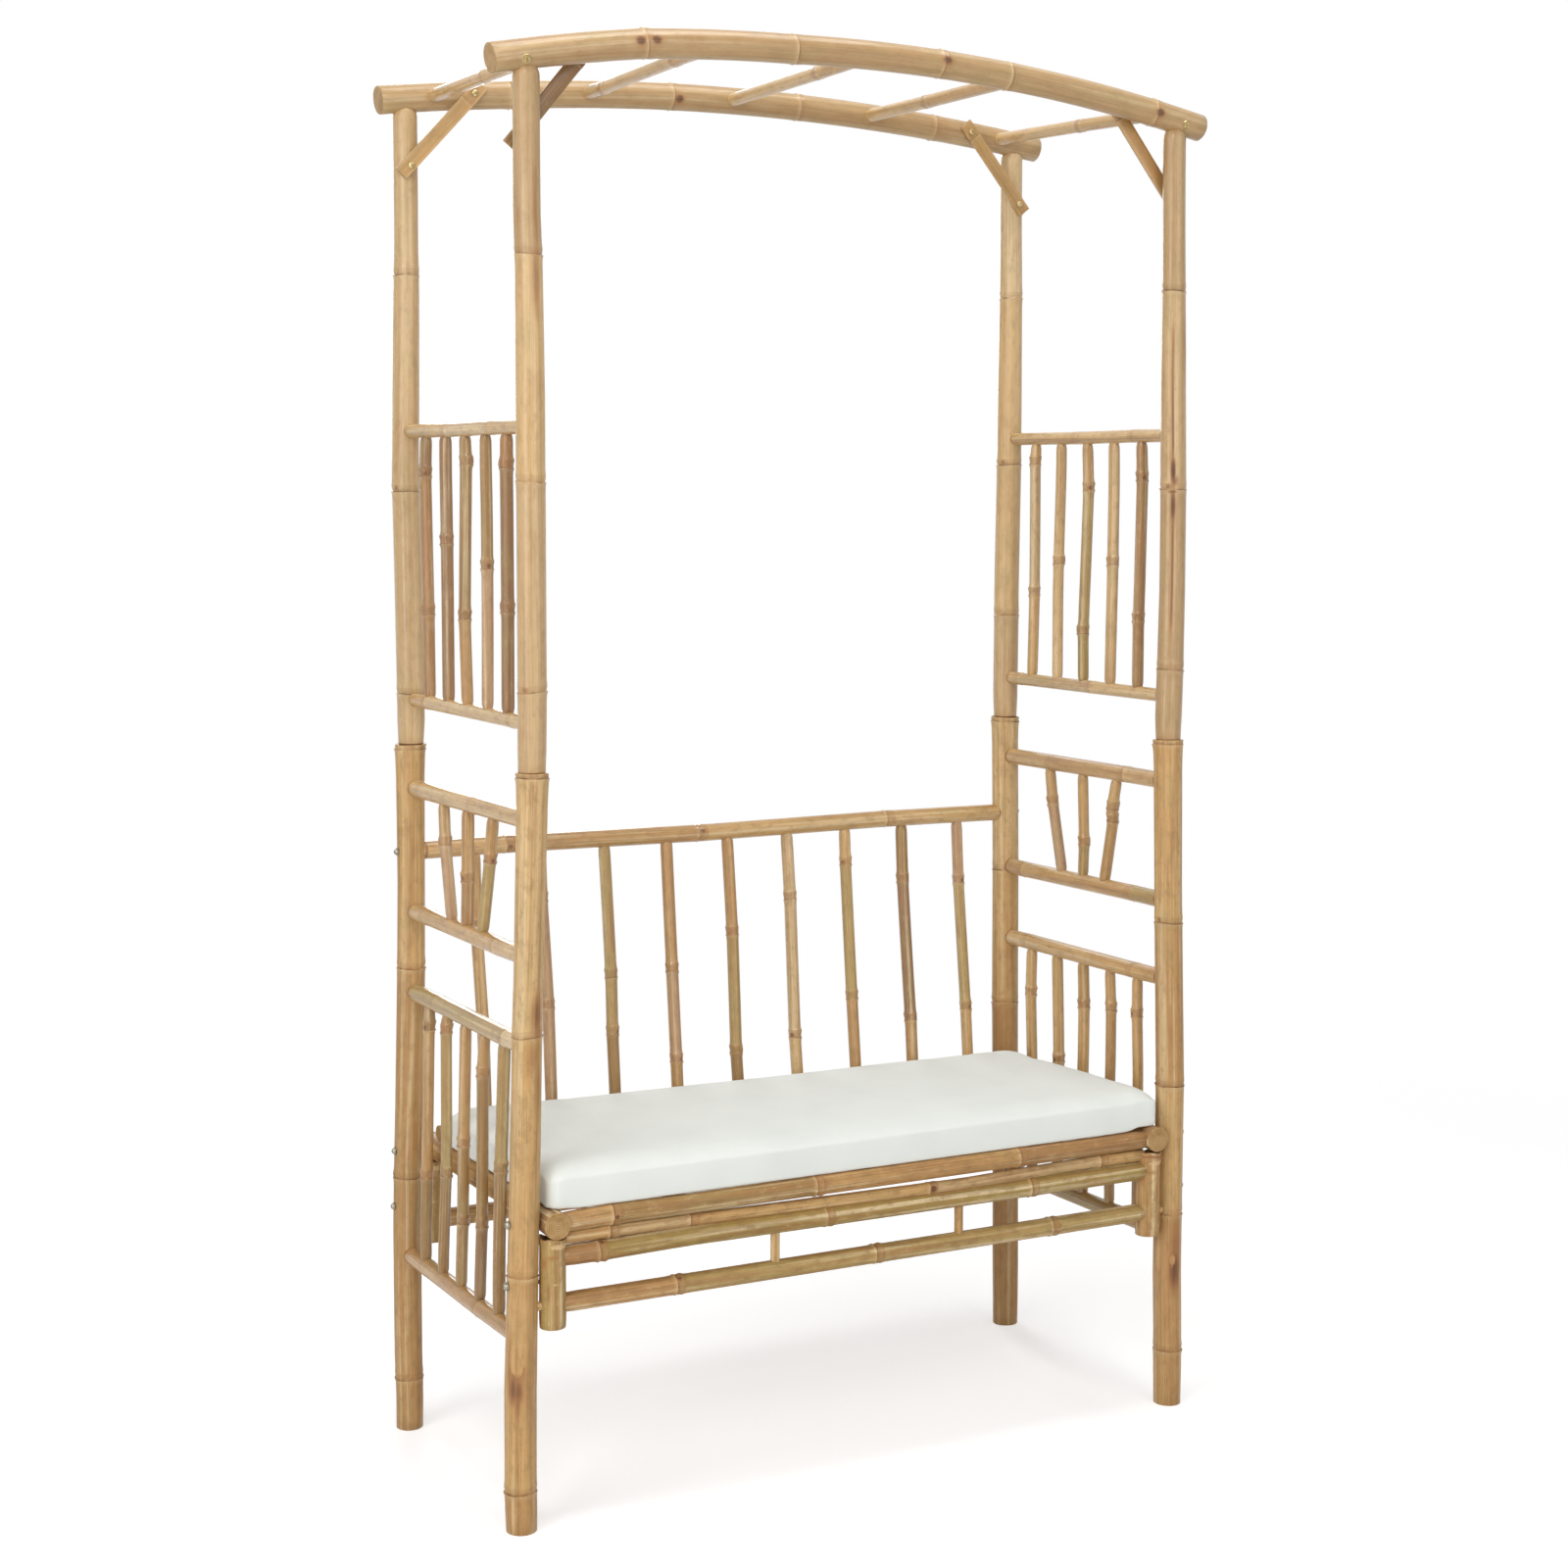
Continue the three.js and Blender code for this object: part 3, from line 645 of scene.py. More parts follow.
# Places that several pieces share, in metres.
SIDES = {"left": -1.0, "right": 1.0}
DEPTHS = {"front": -1.0, "back": 1.0}
CORNERS = [
    (depth, back, side, hand) for depth, back in DEPTHS.items() for side, hand in SIDES.items()
]
POST_X = 0.520
POST_Y = 0.218
LOWER_RADIUS = 0.021
UPPER_RADIUS = 0.019
JOINT_HEIGHT = 1.014
SEAT_HEIGHT = 0.416
APRON_Y = 0.227
LOW_RAIL_HEIGHT = 0.304
STUB_BOLT_HEIGHT = 0.334
REST_RAIL_HEIGHT = 0.857

# How far each post stands outwards of its plumb line, in millimetres at each height.
LEANS = {
    "front_left": ((0.03, 6.8), (0.19, 7.8), (0.35, 5.0), (0.50, 0.0), (0.74, -6.4), (0.95, -10.8),
                   (1.03, -11.8), (1.36, -12.5), (1.51, -11.4), (1.66, -9.0), (1.74, -6.5)),
    "back_left": ((0.04, 3.9), (0.11, 5.7), (0.30, 5.6), (0.49, 0.6), (0.81, -4.1), (1.04, -4.9),
                  (1.24, -2.6), (1.41, 0.0), (1.66, -1.3), (1.80, -2.1)),
    "back_right": ((0.04, 2.5), (0.30, -0.6), (1.06, -9.6), (1.22, -9.8), (1.42, -5.4),
                   (1.64, -7.0), (1.80, -7.7)),
    "front_right": ((0.05, 12.4), (0.12, 11.7), (0.20, 9.4), (0.50, 9.0), (0.80, 1.2),
                    (1.04, -3.4), (1.24, 0.5), (1.39, 0.5), (1.53, -2.9), (1.67, -4.5),
                    (1.85, -7.0)),
}


def leaning(point):
    """Moves a point out or in with the posts, between the front and the back one by its depth."""
    side = "left" if point.x < 0.0 else "right"
    front = reading(LEANS[f"front_{side}"], point.z)
    back = reading(LEANS[f"back_{side}"], point.z)
    share = limited(0.5 + 0.5 * point.y / POST_Y, 0.0, 1.0)
    point.x += math.copysign(1.0, point.x) * (front + (back - front) * share) * MM
    return point


BEAMS = {
    "front": {"y": -POST_Y, "end": 1.9255, "rise": 0.0545, "slope": -0.0134, "over": 0.005},
    "back": {"y": POST_Y, "end": 1.934, "rise": 0.038, "slope": 0.0, "over": 0.0},
}
BEAM_HALF_SPAN = 0.558
BEAM_RADIUS = 0.020


def beam_bend(depth):
    rise = BEAMS[depth]["rise"]
    return (BEAM_HALF_SPAN ** 2 + rise ** 2) / (2.0 * rise)


def beam_height(depth, x):
    bend = beam_bend(depth)
    crown = BEAMS[depth]["end"] + BEAMS[depth]["rise"]
    return crown - bend + math.sqrt(bend * bend - x * x) + BEAMS[depth]["slope"] * x


def arched(depth):
    """The way of a roof beam: a shallow arc from left to right, with its slope. Its left end
    is as much longer as "over" says."""
    bend = beam_bend(depth)
    half_turn = math.asin(BEAM_HALF_SPAN / bend)
    over = BEAMS[depth]["over"]
    centre_height = BEAMS[depth]["end"] + BEAMS[depth]["rise"] - bend

    def place(x, y, s):
        turn = (s - over) / bend - half_turn
        away = bend + x
        across = away * math.sin(turn)
        height = centre_height + away * math.cos(turn) + BEAMS[depth]["slope"] * across
        return Vector((across, BEAMS[depth]["y"] + y, height))

    return 2.0 * half_turn * bend + over, place


def along_beam(depth, x):
    """How far along its arc a beam is at a place across the seat."""
    bend = beam_bend(depth)
    turn = math.asin(BEAM_HALF_SPAN / bend) + math.asin(x / bend)
    return bend * turn + BEAMS[depth]["over"]


# Each post as the photograph shows it: heights of the node rings on its lower and upper culm,
# tones from the bottom, burns as (height, angle, half length, half width, strength), buds as
# (height, angle), and its girth at each height. A burn below zero is peeled skin.
POSTS = {
    "front_left": {
        "lower": (0.054, 0.346, 0.666), "upper": (1.120, 1.394, 1.686),
        "lower_tones": "tan honey honey straw sand", "upper_tones": "sand sand straw dun",
        "burns_and_shades": ((0.199, -141, 0.024, 0.008, 0.62), (0.197, -122, 0.022, 0.008, 0.60),
                  (0.212, -130, 0.030, 0.014, 0.45), (0.205, -128, 0.052, 0.017, 0.30),
                  (0.225, -156, 0.045, 0.005, 0.42), (0.228, -104, 0.034, 0.003, 0.40),
                  (0.182, -122, 0.030, 0.005, 0.45), (0.262, -118, 0.006, 0.008, 0.35),
                  (0.244, -124, 0.020, 0.007, -1.0), (0.238, -134, 0.014, 0.006, -0.7),
                  (0.697, -76, 0.032, 0.010, 0.50), (0.640, -92, 0.030, 0.012, 0.30),
                  (0.600, -60, 0.05, 0.012, 0.25)),
        "upper_burns": ((1.655, -85, 0.05, 0.007, 0.4), (1.74, -75, 0.06, 0.006, 0.3)),
        "buds": (), "upper_buds": ((1.120, -140),),
        "girth": ((0.0, 1.0), (0.03, 1.04), (0.11, 1.04), (0.19, 1.05), (0.35, 1.0), (0.74, 0.95),
                  (1.0, 1.0), (1.05, 1.0), (1.51, 1.0), (1.66, 0.95), (1.81, 0.93)),
    },
    "back_left": {
        "lower": (0.076, 0.375, 0.686), "upper": (1.087, 1.380, 1.689),
        # The back left lower culm's darker tones are partly its own colour and partly painted
        # shade.
        "lower_tones": "tan tan tan honey straw", "upper_tones": "sand sand sand sand",
        "burns_and_shades": ((0.50, -20, 0.05, 0.009, 0.45), (0.37, -15, 0.06, 0.010, 0.4)),
        "upper_burns": (), "buds": ((0.375, 178),), "upper_buds": ((1.380, -150),),
        "girth": ((0.0, 0.93), (0.11, 0.97), (0.49, 1.0), (0.81, 0.95), (1.0, 1.0), (1.05, 1.07),
                  (1.52, 1.04), (1.66, 1.0), (1.73, 0.93)),
    },
    "back_right": {
        "lower": (0.330, 0.541, 0.763), "upper": (1.181, 1.425, 1.693),
        "lower_tones": "tan tan honey straw straw", "upper_tones": "sand straw straw pale",
        "burns_and_shades": (), "upper_burns": (), "buds": (), "upper_buds": ((1.425, -150),),
        "girth": ((0.0, 0.95), (0.10, 1.0), (1.0, 1.0), (1.05, 1.05), (1.42, 1.05), (1.54, 1.03),
                  (1.64, 0.99), (1.72, 0.96), (1.80, 0.93)),
    },
    "front_right": {
        "lower": (0.083, 0.294, 0.491, 0.738), "upper": (1.119, 1.387, 1.678),
        "lower_tones": "tan tan honey tan honey straw", "upper_tones": "dun dun sand dun",
        "burns_and_shades": ((0.212, -95, 0.035, 0.010, 0.75), (0.25, -90, 0.05, 0.012, 0.4),
                  (0.226, -103, 0.006, 0.003, -1.4), (0.57, -120, 0.05, 0.006, 0.3)),
        "upper_burns": ((1.60, -60, 0.05, 0.008, 0.3), (1.414, -128, 0.020, 0.0035, 1.0),
                        (1.400, -122, 0.008, 0.005, 0.6), (1.362, -128, 0.026, 0.0035, 0.85),
                        (1.355, -126, 0.045, 0.007, 0.3), (1.384, -131, 0.003, 0.006, 0.7)),
        "buds": ((0.738, -165),), "upper_buds": ((1.387, -150),),
        "girth": ((0.0, 0.95), (0.06, 0.99), (0.20, 1.0), (0.80, 0.97), (1.0, 1.0), (1.05, 1.06),
                  (1.24, 1.0), (1.53, 0.99), (1.59, 0.97), (1.67, 0.91), (1.76, 0.88)),
    },
}


def post_girth(facts, foot, rows):
    """A culm's own girth times its post's, at each place along it where either is given."""
    long = rows[-1][0]
    places = {s for s, _ in rows} | {z - foot for z, _ in facts["girth"] if 0.0 < z - foot < long}
    return [(s, reading(rows, s) * reading(facts["girth"], foot + s)) for s in sorted(places)]


DOWEL_RADIUS = 11 * MM
DOWEL_REACH = 42 * MM
DOWEL_CHAMFER = 1 * MM


def joint_dowel(post, x, y):
    """The round dowel hidden in a post's joint, in line with the post as it leans there."""
    low = leaning(Vector((x, y, JOINT_HEIGHT - DOWEL_REACH)))
    high = leaning(Vector((x, y, JOINT_HEIGHT + DOWEL_REACH)))
    long = (high - low).length
    inset = DOWEL_RADIUS - DOWEL_CHAMFER
    outline = (
        (0.0, 0.0), (inset, 0.0), (DOWEL_RADIUS, DOWEL_CHAMFER),
        (DOWEL_RADIUS, long - DOWEL_CHAMFER), (inset, long), (0.0, long),
    )
    turned_piece(f"joint_dowel_{post}", outline, 32, low, high - low, BEECH, [f"{post}_post_dowel"])


# What the posts' culms have in common.
POST_CULM = {"steps": 64, "reach": 1.0, "profile": THICK_NODE, "sway": 1.2 * MM}
for depth, back, side, hand in CORNERS:
    post = f"{depth}_{side}"
    facts = POSTS[post]
    x = hand * POST_X
    y = back * POST_Y
    scar = JOINT_HEIGHT - 7 * MM
    rows = [(0.0, 1.0), (0.97, 1.0), (JOINT_HEIGHT - 2 * MM, 1.05), (JOINT_HEIGHT, 1.03)]
    culm(
        f"lower_culm_{post}", straight((x, y, 0.0), (x, y, JOINT_HEIGHT), leaning),
        LOWER_RADIUS, LOWER, [f"{post}_lower_post"], rings=(*facts["lower"], scar),
        tones=facts["lower_tones"], ridge=1.4 * MM, girth=post_girth(facts, 0.0, rows),
        tilt=1.3 * MM, buds=facts["buds"], burns_and_shades=facts["burns_and_shades"], knot_shade=0.5, **POST_CULM,
    )
    # The upper culm's shoulders round off just inside the beam that lies on it.
    top = beam_height(depth, x) - 13 * MM
    foot = JOINT_HEIGHT + 0.3 * MM
    long = top - foot
    upper = [height - foot for height in facts["upper"]]
    burns_and_shades = [(b[0] - foot, *b[1:]) for b in facts["upper_burns"]]
    # A painted shadow: the dark line round the joint, at the upper culm's foot.
    burns_and_shades.append((0.0, -110, 0.0016, 0.2, 0.8))
    grooves = ()
    if post == "front_right":
        grooves = ((-128, upper[0] + 0.03, upper[1] - 0.004, 1.5 * MM),
                   (-128, upper[1] + 0.012, upper[2] - 0.03, 1.8 * MM))
    culm(
        f"upper_culm_{post}", straight((x, y, foot), (x, y, top), leaning), UPPER_RADIUS,
        UPPER, [f"{post}_upper_post"], rings=upper, tones=facts["upper_tones"], ridge=1.3 * MM,
        girth=post_girth(facts, foot, [
            (0.0, 0.95), (0.03, 0.985), (0.08, 1.0), (long - 13 * MM, 1.0),
            (long - 8 * MM, 0.97), (long - 4 * MM, 0.88), (long, 0.70),
        ]),
        tilt=1.6 * MM, flute=0.013, grooves=grooves, burns_and_shades=burns_and_shades, knot_shade=0.45,
        buds=[(height - foot, turn) for height, turn in facts["upper_buds"]], **POST_CULM,
    )
    joint_dowel(post, x, y)


# Roof: two arched beams, five cross bars, and a split strip across each corner.
BEAM_RINGS = {"front": (-0.348, -0.125, 0.106, 0.218, 0.470), "back": (-0.36, -0.10, 0.116, 0.36)}
BEAM_BUDS = {
    "front": ((-0.364, -84), (-0.341, -82), (0.104, -80), (0.468, -95)),
    "back": ((-0.097, -106),),
}
BEAM_KINKS = {
    "front": ((-0.558, 0.0), (-0.348, 4.0), (-0.125, -0.5), (0.106, 0.0), (0.558, 0.0)),
    "back": ((-0.558, 0.0), (-0.36, -1.0), (-0.10, 1.0), (0.558, 0.0)),
}
for depth in BEAMS:
    culm(
        f"roof_culm_{depth}", arched(depth), BEAM_RADIUS, BEAM, [f"{depth}_roof_beam"],
        rings=[along_beam(depth, x) for x in BEAM_RINGS[depth]],
        tones="dun", steps=64, reach=0.9, tilt=1.0 * MM, profile=THICK_NODE,
        girth=[(0.0, 1.0), (1.2, 0.97)], knot=1.5, knot_shade=0.75,
        buds=[(along_beam(depth, x), turn) for x, turn in BEAM_BUDS[depth]],
        burns_and_shades=[(along_beam(depth, x) + 5 * MM, turn, 0.013, 0.012, 0.3)
               for x, turn in BEAM_BUDS[depth]],
        kinks=[(along_beam(depth, x), up * MM, 0.0) for x, up in BEAM_KINKS[depth]],
    )

# Each cross bar: its place, and its rings as distances from its front end.
CROSS_BARS = (
    (-0.480, (0.20,)), (-0.240, (0.10, 0.34)), (0.0, (0.13,)), (0.240, (0.23,)), (0.480, (0.17,)),
)
for number, (x, rings) in enumerate(CROSS_BARS, 1):
    start = (x, -0.204, beam_height("front", x))
    end = (x, 0.204, beam_height("back", x))
    culm(
        f"cross_bar_culm_{number}", straight(start, end), 0.0097, CROSS,
        [f"roof_cross_bar_{number}"], rings=rings, tones="honey straw sand", ridge=0.7 * MM,
        sway=1.2 * MM, flute=0.02, girth=[(0.0, 1.0), (0.36, 1.0), (0.40, 1.06)],
    )

# The braces' place in depth, how far across they are screwed to the beam, how far below it they
# are screwed to the post, and how much longer they are at each end.
BRACE_PLANE = 0.1947
BRACE_REACH = 0.421
BRACE_DROP = 0.097
BRACE_OVERLAP = 0.017
# The tones of each brace's skin, which faces out, and of its pith.
BRACE_TONES = {
    # The front left brace's umber is partly its own colour and partly painted shade on its face.
    ("front", "left"): ("umber", "umber"), ("front", "right"): ("tan", "tan"),
    ("back", "left"): ("straw", "honey"), ("back", "right"): ("straw", "honey"),
}
for depth, back, side, hand in CORNERS:
    low, high = (
        Vector((hand * x, back * BRACE_PLANE, beam_height(depth, hand * x) - drop))
        for x, drop in ((POST_X, BRACE_DROP), (BRACE_REACH, 0.0))
    )
    low = leaning(low)
    # The back left brace meets its post a little further out than the others.
    if (depth, side) == ("back", "left"):
        low.x -= 4.0 * MM
    beyond = (high - low).normalized() * BRACE_OVERLAP
    strip(
        f"split_brace_{depth}_{side}", low - beyond * (1.25 if back < 0 else 1.0),
        high + beyond, (0.0, back, 0.0), 0.021, 0.004, 0.0016, BEAM,
        [f"{depth}_{side}_corner_brace"], BRACE_TONES[depth, side], (0.148,),
    )


# Fixings: bolts with washers through the posts, screws in the beams and braces.
def fixing(name, outline, spot, out, nodes=(), finish=ZINC):
    """A turned head whose flat side lies on the wood at a spot, facing out."""
    turned_piece(name, [(r * MM, h * MM) for r, h in outline], 24, spot, out, finish, nodes)


# Outlines in millimetres: distance from the middle, and height over the wood.
BOLT_HEAD = (
    (0.0, -58.0), (2.6, -58.0), (3.0, -57.5), (3.0, 0.0), (5.6, 0.0), (5.9, 0.3), (5.9, 1.2),
    (5.6, 1.5), (4.4, 1.5), (4.3, 2.3), (3.9, 3.4), (3.1, 4.3), (2.2, 4.8), (1.8, 4.9),
    (1.6, 4.7), (1.5, 3.2), (0.0, 3.0),
)
SHORT_BOLT = tuple((r, max(h, -14.0 - 0.01 * r)) if h < -1.0 else (r, h) for r, h in BOLT_HEAD)
BEAM_SCREW = (
    (0.0, -18.0), (1.6, -16.0), (1.8, -0.8), (5.9, -0.8), (6.5, 0.1), (6.2, 0.9), (5.3, 1.3),
    (4.8, 0.8), (4.5, 1.5), (3.2, 2.1), (2.1, 2.2), (1.9, 1.8), (1.6, 0.2), (0.0, 0.0),
)
SCREW_HEAD = (
    (0.0, -16.0), (1.4, -14.0), (1.6, -1.0), (4.5, 0.0), (4.9, 0.4), (4.7, 1.1), (3.8, 1.7),
    (2.5, 2.1), (1.6, 2.15), (1.3, 1.8), (1.1, 0.6), (0.0, 0.5),
)
POST_FACE = 0.5413
BEAM_SCREW_DIP = math.radians(22.0)
for depth, back, side, hand in CORNERS:
    for kind, height in (("seat", SEAT_HEIGHT), ("stub", STUB_BOLT_HEIGHT)):
        spot = leaning(Vector((hand * POST_FACE, back * POST_Y, height)))
        fixing(
            f"{kind}_bolt_head_{depth}_{side}", BOLT_HEAD, spot, (hand, 0.0, 0.0),
            [f"{depth}_{side}_{kind}_bolt"],
        )
    if depth == "back":
        spot = leaning(Vector((hand * POST_FACE, POST_Y, REST_RAIL_HEIGHT)))
        fixing(f"backrest_bolt_head_{side}", SHORT_BOLT, spot, (hand, 0.0, 0.0))
    out = Vector((0.0, back * math.cos(BEAM_SCREW_DIP), -math.sin(BEAM_SCREW_DIP)))
    spot = Vector((hand * POST_X, back * POST_Y, beam_height(depth, hand * POST_X)))
    spot += out * (BEAM_RADIUS - 0.2 * MM)
    fixing(f"beam_screw_{depth}_{side}", BEAM_SCREW, spot, out, finish=BRASSY)
    inner = back * (BRACE_PLANE - 2.6 * MM)
    for place, x, drop in (("post", POST_X, BRACE_DROP), ("beam", BRACE_REACH, 0.0)):
        spot = Vector((hand * x, inner, beam_height(depth, hand * x) - drop))
        if place == "post":
            spot = leaning(spot)
        name = f"brace_{place}_screw_{depth}_{side}"
        fixing(name, SCREW_HEAD, spot, (0.0, -back, 0.0), finish=BRASSY)


# Side panels. Places in depth of the upright bars, and of a fan bar's foot and head.
BAR_PLACES = (0.140, 0.070, 0.0, -0.070, -0.140)
FAN_PLACES = ((0.056, 0.090), (0.0, 0.0), (-0.056, -0.090))
BAR_RADIUS = 0.0085
# The bars of each panel: the heights of their feet and heads, and the node they stand for.
BAR_SPANS = {
    "upper_panel": (1.083, 1.460, "upper_panel_balusters"),
    "lower_panel": (0.268, 0.645, "lower_balusters"),
    "fan": (0.776, 0.944, "fan_bars"),
}
# Each bar from back to front: the heights of its node rings and the tones between them, as the
# photograph shows them.
BARS = {
    "left": {
        "upper_panel": (((1.206, 1.401), "russet russet umber"), ((1.307,), "umber umber"),
                        ((1.205, 1.417), "tan drab drab"), ((1.276,), "rose drab"),
                        ((1.221, 1.412), "umber umber russet")),
        # The left lower panel's dark tones are partly the bars' own colour and partly painted shade
        # under the seat.
        "lower_panel": (((0.392, 0.609), "drab tan drab"), ((0.412, 0.617), "drab olive tan"),
                        ((0.361, 0.470), "drab drab tan"), ((0.374, 0.583), "umber drab tan"),
                        ((0.468,), "drab olive")),
        "fan": (((0.882,), "rose tan"), ((0.842,), "russet tan"), ((0.880,), "olive tan")),
    },
    "right": {
        "upper_panel": (((1.216, 1.425), "honey sand honey"), ((1.268,), "straw straw"),
                        ((1.161, 1.384), "moss olive tan"), ((1.270,), "straw straw"),
                        ((1.187, 1.400), "russet russet russet")),
        "lower_panel": (((0.400, 0.567), "tan honey honey"), ((0.470,), "honey honey"),
                        ((0.390, 0.570), "tan honey tan"), ((0.410, 0.578), "honey tan honey"),
                        ((0.395, 0.581), "tan honey honey")),
        "fan": (((0.885,), "rose honey"), ((0.829,), "olive honey"),
                ((0.876, 0.895), "tan tan honey")),
    },
}
# Each rail: its height, radius, node it stands for and half length.
RAILS = {
    "upper_panel_high_rail": (1.466, 0.0100, "upper_panel_top_rail", 0.213),
    "upper_panel_low_rail": (1.079, 0.0100, "upper_panel_balusters", 0.213),
    "fan_high_rail": (0.951, 0.0125, "fan_top_rail", 0.211),
    "fan_low_rail": (0.770, 0.0125, "fan_bars", 0.211),
    "elbow_rail": (0.652, 0.0125, "arm_rail", 0.211),
    "foot_rail": (0.262, 0.0125, "lower_balusters", 0.211),
}
# Their rings as places in depth from front to back, and the tones between them.
RAIL_FACTS = {
    "left": {
        "upper_panel_high_rail": ((-0.10, 0.055), "straw pale straw"),
        "upper_panel_low_rail": ((-0.165, 0.140), "straw straw honey"),
        "fan_high_rail": ((-0.035, 0.16), "straw straw straw"),
        "fan_low_rail": ((-0.12, 0.145), "straw honey straw"),
        "elbow_rail": ((-0.155, 0.100), "pale olive olive"),
        "foot_rail": ((-0.08, 0.13), "tan tan tan"),
    },
    "right": {
        "upper_panel_high_rail": ((-0.13, 0.020), "straw straw straw"),
        "upper_panel_low_rail": ((-0.030, 0.17), "straw sand straw"),
        "fan_high_rail": ((-0.12, 0.075), "straw honey straw"),
        "fan_low_rail": ((-0.135, 0.155), "olive honey tan"),
        "elbow_rail": ((-0.142, 0.143), "honey honey straw"),
        "foot_rail": ((-0.10, 0.10), "tan olive tan"),
    },
}


def bar_ends(length):
    """A bar's ends round off where they meet the rails."""
    rounding = ((0.0, 0.64), (3 * MM, 0.78), (6 * MM, 0.90), (10 * MM, 0.98), (16 * MM, 1.0))
    return [*rounding, *[(length - s, share) for s, share in reversed(rounding)]]


def painted_hole_shadows(length, deep):
    """Painted shadow round both ends of a rail, where it goes that deep into a drilled hole."""
    return tuple((s, 0.0, 0.0024, 0.2, 0.5) for s in (deep, length - deep))


def side_bar(side, panel, number, low, high):
    """A thin upright bar between two rails. Low and high are its foot's and head's places in
    depth."""
    foot, head, node = BAR_SPANS[panel]
    heights, tones = BARS[side][panel][number - 1]
    start = Vector((SIDES[side] * POST_X, low, foot))
    end = Vector((SIDES[side] * POST_X, high, head))
    length = (end - start).length
    rings = [(height - foot) / (head - foot) * length for height in heights]
    buds = [(ring, chance.uniform(0.0, 360.0)) for ring in rings if chance.random() < 0.8]
    culm(
        f"{side}_{panel}_bar_{number}", straight(start, end, leaning),
        BAR_RADIUS * chance.uniform(0.96, 1.03), PANEL, [f"{side}_{node}"], rings=rings,
        tones=tones, ridge=1.4 * MM, sway=2.0 * MM, tilt=1.0 * MM, oval=0.03, flute=0.020,
        buds=buds, pitch=18 * MM, scar=0.7, girth=bar_ends(length),
        bow=chance.uniform(-1.2, 1.2) * MM, bow_turn=chance.uniform(0.0, 180.0),
    )


for side, hand in SIDES.items():
    for rail, (height, radius, node, half) in RAILS.items():
        x = hand * POST_X
        places, tones = RAIL_FACTS[side][rail]
        culm(
            f"{side}_{rail}", straight((x, -half, height), (x, half, height), leaning), radius,
            PANEL, [f"{side}_{node}"], rings=[half + place for place in places], tones=tones,
            steps=32, ridge=0.5 * MM, reach=1.0, profile=THICK_NODE, sway=0.9 * MM,
            tilt=0.8 * MM, scar=0.45, burns_and_shades=painted_hole_shadows(2.0 * half, 0.0130),
        )
    for number, y in enumerate(BAR_PLACES, 1):
        side_bar(side, "upper_panel", number, y, y)
        side_bar(side, "lower_panel", number, y, y)
    for number, (low, high) in enumerate(FAN_PLACES, 1):
        side_bar(side, "fan", number, low, high)


# Backrest: a top rail between the back posts, and nine bars that lean back from a hidden rail.
culm(
    "backrest_high_rail",
    straight((-0.513, POST_Y, REST_RAIL_HEIGHT), (0.513, POST_Y, REST_RAIL_HEIGHT)), 0.013, PANEL,
    ["backrest_top_rail"], steps=28, rings=(0.141, 0.461, 0.794), tones="honey tan honey honey",
    ridge=0.9 * MM, sway=2.2 * MM, tilt=0.8 * MM, profile=THICK_NODE, reach=1.0,
    buds=((0.141, -80), (0.461, -110)), scar=0.7, burns_and_shades=painted_hole_shadows(1.026, 0.0165),
)
culm(
    "backrest_low_rail", straight((-0.493, 0.174, 0.4458), (0.493, 0.174, 0.4458)), 0.012, PANEL,
    ["backrest_bars"], steps=28, rings=(0.12, 0.43, 0.80), tones="tan honey tan", sway=0.8 * MM,
)
# The bars' distance apart, and the depth and height of their feet and heads. Each bar from the
# left: its rings as shares of its length, and its tones.
REST_PITCH = 0.1045
REST_FOOT = (0.1745, 0.452)
REST_HEAD = (0.2172, 0.850)
REST_RINGS = ((0.35, 0.72), (0.40, 0.80), (0.278, 0.493), (0.15, 0.493), (0.157, 0.614),
              (0.191, 0.730), (0.320, 0.850), (0.210, 0.765), (0.23, 0.742))
REST_TONES = ("honey honey tan", "rose rose honey", "drab olive olive", "tan rose tan",
              "drab olive tan", "straw sand sand", "tan olive honey", "tan umber drab",
              "honey olive rose")
for number, (shares, tones) in enumerate(zip(REST_RINGS, REST_TONES), 1):
    x = (number - 5) * REST_PITCH
    start = Vector((x, *REST_FOOT))
    end = Vector((x, *REST_HEAD))
    length = (end - start).length
    rings = [share * length for share in shares]
    culm(
        f"backrest_bar_{number}", straight(start, end), 0.0095 * chance.uniform(0.95, 1.03),
        PANEL, ["backrest_bars"], rings=rings, tones=tones, ridge=1.15 * MM,
        sway=2.0 * MM, tilt=1.0 * MM, oval=0.03, flute=0.018,
        buds=[(ring, chance.uniform(-160.0, -40.0)) for ring in rings if chance.random() < 0.5],
        girth=bar_ends(length), scar=0.7,
        bow=chance.uniform(-1.5, 1.5) * MM, bow_turn=chance.uniform(0.0, 180.0),
    )

# Seat frame: side culms bolted to the posts, rails between them, and stub posts below.
SIDE_CULM_X = 0.481
SIDE_CULM_RADIUS = 0.0175
# Each side culm's front end, across and up.
SIDE_CULM_FRONT = {"left": (-0.4835, 0.4125), "right": (0.4905, 0.4160)}
for side, hand in SIDES.items():
    x, height = SIDE_CULM_FRONT[side]
    culm(
        f"seat_side_rail_{side}",
        straight((x, -0.243, height), (hand * SIDE_CULM_X, 0.243, SEAT_HEIGHT)),
        SIDE_CULM_RADIUS, APRON, [f"{side}_seat_side_culm"], steps=36,
        rings=(0.10, 0.31), tones="umber tan tan", ridge=1.0 * MM, reach=0.8,
        girth=[(0.0, 1.08), (0.03, 1.03), (0.08, 1.0), (0.45, 1.0)],
    )

STUB_X = 0.4848
STUB_RADIUS = 0.0184


